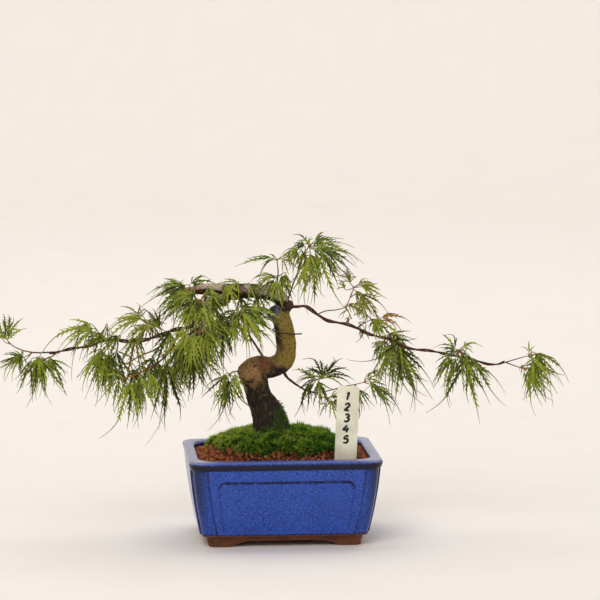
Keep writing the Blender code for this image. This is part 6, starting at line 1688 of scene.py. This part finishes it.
class MAPLE_OT_soil(bpy.types.Operator):
    """Fill the pot with grains of baked clay"""
    bl_idname = "maple.soil"
    bl_label = "Soil"

    def execute(self, context):
        settings = context.scene.maple_ground
        material = soil_material(settings)
        body, top = soil_meshes()
        slope = part_of(moss_mesh(), "soil_slope", lambda middle: SOIL_Z < middle.z < bare_height(middle) + 0.6)
        both = bmesh.new()
        both.from_mesh(top)
        both.from_mesh(slope)
        both.to_mesh(top)
        both.free()
        grains = grow(place_mesh("soil_top", top), grain_tree(material), {"Spacing": settings.grain_spacing})
        base = finish_piece("soil_bed", body, ["soil"], [material])
        base.data.attributes.new("tint", "FLOAT", "POINT")
        finish_piece("soil_grains", grains, [], [material], crease=60)
        return {"FINISHED"}


class MAPLE_OT_moss(bpy.types.Operator):
    """Grow the moss cushion"""
    bl_idname = "maple.moss"
    bl_label = "Moss"

    def execute(self, context):
        settings = context.scene.maple_ground
        material = moss_material(settings)
        sprig = place_mesh("moss_sprig", sprig_mesh())
        sizes = {"Spacing": settings.shoot_spacing, "Tallest": settings.shoot_height}
        cushion = moss_mesh()
        mossy = part_of(cushion, "moss_ground", lambda middle: middle.z > bare_height(middle))
        shoots = grow(place_mesh("moss_ground", mossy), sprig_tree("moss_shoots", sprig, material), sizes)
        finish_piece("moss_cushion", cushion, ["moss"], [material])
        finish_piece("moss_shoots", shoots, [], [material])
        bpy.data.objects.remove(sprig, do_unlink=True)
        return {"FINISHED"}


class MAPLE_OT_label(bpy.types.Operator):
    """Stand the plant label in the soil"""
    bl_idname = "maple.label"
    bl_label = "Plant label"

    def execute(self, context):
        card = card_material(context.scene.maple_label)
        finish_piece("label_card", card_mesh(), ["plant_label"], [card], crease=60)
        finish_piece("label_numbers", ink_mesh(), [], [ink_material()], crease=50)
        return {"FINISHED"}


class MAPLE_OT_wood(bpy.types.Operator):
    """Make the trunk, limbs and branches, and the paste on the old cut"""
    bl_idname = "maple.wood"
    bl_label = "Wood"

    def execute(self, context):
        settings = context.scene.maple_wood
        ground = context.scene.maple_ground
        wood = wood_mesh(settings)
        worn = [value.value for value in wood.attributes["moss"].data]
        mossy = {tuple(wood.vertices[i].co) for i, value in enumerate(worn) if value > 0.55}
        foot = bmesh.new()
        foot.from_mesh(wood)
        bare = [vertex for vertex in foot.verts if tuple(vertex.co) not in mossy]
        bmesh.ops.delete(foot, geom=bare, context="VERTS")
        film = bpy.data.meshes.new("moss_film")
        foot.to_mesh(film)
        foot.free()
        moss = bpy.data.materials.get("carpet_moss") or moss_material(ground)
        sprig = place_mesh("moss_sprig", sprig_mesh())
        climbing = grow(place_mesh("moss_film", film), sprig_tree("climbing_moss", sprig, moss),
                        {"Spacing": 1.3 * ground.shoot_spacing, "Shortest": 0.25 * ground.shoot_height,
                         "Tallest": 0.6 * ground.shoot_height})
        finish_piece("moss_on_trunk", climbing, [], [moss])
        bpy.data.objects.remove(sprig, do_unlink=True)
        finish_piece("trunk_and_branches", wood, ["tree"], [bark_material(settings)])
        finish_piece("paste_on_cut", paste_mesh(), ["wound_paste"], [paste_material(settings)])
        return {"FINISHED"}


class MAPLE_OT_wires(bpy.types.Operator):
    """Wind the training wires"""
    bl_idname = "maple.wires"
    bl_label = "Training wires"

    def execute(self, context):
        settings = context.scene.maple_wood
        material = wire_material(settings)
        tree = wire_tree(material)
        for side, points in (("right", right_wire()), ("left", left_wire())):
            line = line_object("wire_line_" + side, smooth_path(points, 0.8))
            mesh = grow(line, tree, {"Radius": settings.wire_radius})
            finish_piece("training_wire_" + side, mesh, ["wire_" + side], [material], crease=60)
        return {"FINISHED"}


class MAPLE_OT_leaves(bpy.types.Operator):
    """Grow the sprays of cut leaves"""
    bl_idname = "maple.leaves"
    bl_label = "Leaves"

    def execute(self, context):
        settings = context.scene.maple_leaves
        green = leaf_material("maple_leaf_green", settings.deep, settings.mid, settings.fresh, settings)
        red = leaf_material("maple_leaf_turning", settings.deep, settings.warm, settings.fresh, settings)
        stalks = stalk_material(settings)
        for number, spray in enumerate(SPRAYS):
            name = spray[0]
            turning = name.endswith("_red")
            finish_piece(name.replace("spray", "leaves"), spray_mesh(number, spray),
                         [name], [red if turning else green, stalks], crease=50)
        return {"FINISHED"}


class MAPLE_OT_stage(bpy.types.Operator):
    """Set up the floor, lights and camera"""
    bl_idname = "maple.stage"
    bl_label = "Stage"

    def execute(self, context):
        settings = context.scene.maple_stage
        floor = place_mesh("floor_sweep", sweep_mesh())
        floor.data.materials.append(wall_material(settings))
        floor.data.shade_smooth()
        add_light("main_light", (-0.7, -1.5, 1.5), (0.0, 0.0, 0.12), (1.4, 1.1), settings.key_power, (1.0, 0.97, 0.93))
        add_light("fill_light", (1.6, -1.0, 0.9), (0.0, 0.0, 0.12), (1.2, 1.2), settings.fill_power, (0.95, 0.97, 1.0))
        add_light("wall_light", (0.0, 1.15, 2.4), (0.0, 1.6, 0.0), (3.6, 2.4), settings.wall_power, (1.0, 0.97, 0.93))
        world = bpy.data.worlds.new("studio")
        world.use_nodes = True
        world.node_tree.nodes["Background"].inputs[0].default_value = (1.0, 0.98, 0.95, 1.0)
        world.node_tree.nodes["Background"].inputs[1].default_value = 0.2
        context.scene.world = world
        context.scene.view_settings.view_transform = "Standard"
        turn, tilt = math.radians(-5.0), math.radians(7.0)
        right = Vector((math.cos(turn), math.sin(turn), 0.0))
        back = Vector((math.sin(turn) * math.cos(tilt), -math.cos(turn) * math.cos(tilt), math.sin(tilt)))
        camera = bpy.data.cameras.new("camera")
        camera.sensor_width, camera.lens = 36.0, 189.7
        camera.clip_start, camera.clip_end = 0.1, 20.0
        obj = bpy.data.objects.new("camera", camera)
        obj.location = right * 0.0132 + back.cross(right) * 0.1637 + back * 2.2
        obj.rotation_mode = "QUATERNION"
        obj.rotation_quaternion = (-back).to_track_quat("-Z", "Y")
        context.scene.collection.objects.link(obj)
        context.scene.camera = obj
        return {"FINISHED"}


SETTINGS = {"maple_pot": PotSettings, "maple_ground": GroundSettings, "maple_label": LabelSettings,
            "maple_wood": WoodSettings, "maple_leaves": LeafSettings, "maple_stage": StageSettings}
OPERATORS = [MAPLE_OT_stage, MAPLE_OT_pot, MAPLE_OT_soil, MAPLE_OT_moss, MAPLE_OT_label, MAPLE_OT_wood,
             MAPLE_OT_wires, MAPLE_OT_leaves]


class MAPLE_PT_sidebar(bpy.types.Panel):
    bl_idname = "MAPLE_PT_sidebar"
    bl_label = "Maple bonsai"
    bl_space_type = "VIEW_3D"
    bl_region_type = "UI"
    bl_category = "Maple bonsai"

    def draw(self, context):
        for operator in OPERATORS:
            self.layout.operator(operator.bl_idname)
        for key, group in SETTINGS.items():
            box = self.layout.box()
            for field in group.__annotations__:
                box.prop(getattr(context.scene, key), field)


def register():
    for group in SETTINGS.values():
        bpy.utils.register_class(group)
    for key, group in SETTINGS.items():
        setattr(bpy.types.Scene, key, bpy.props.PointerProperty(type=group))
    for operator in OPERATORS + [MAPLE_PT_sidebar]:
        bpy.utils.register_class(operator)


def unregister():
    for operator in OPERATORS + [MAPLE_PT_sidebar]:
        bpy.utils.unregister_class(operator)
    for key, group in SETTINGS.items():
        delattr(bpy.types.Scene, key)
        bpy.utils.unregister_class(group)


def main():
    register()
    for operator in OPERATORS:
        step = getattr(bpy.ops.maple, operator.bl_idname.split(".")[1])
        step()


if __name__ == "__main__":
    main()
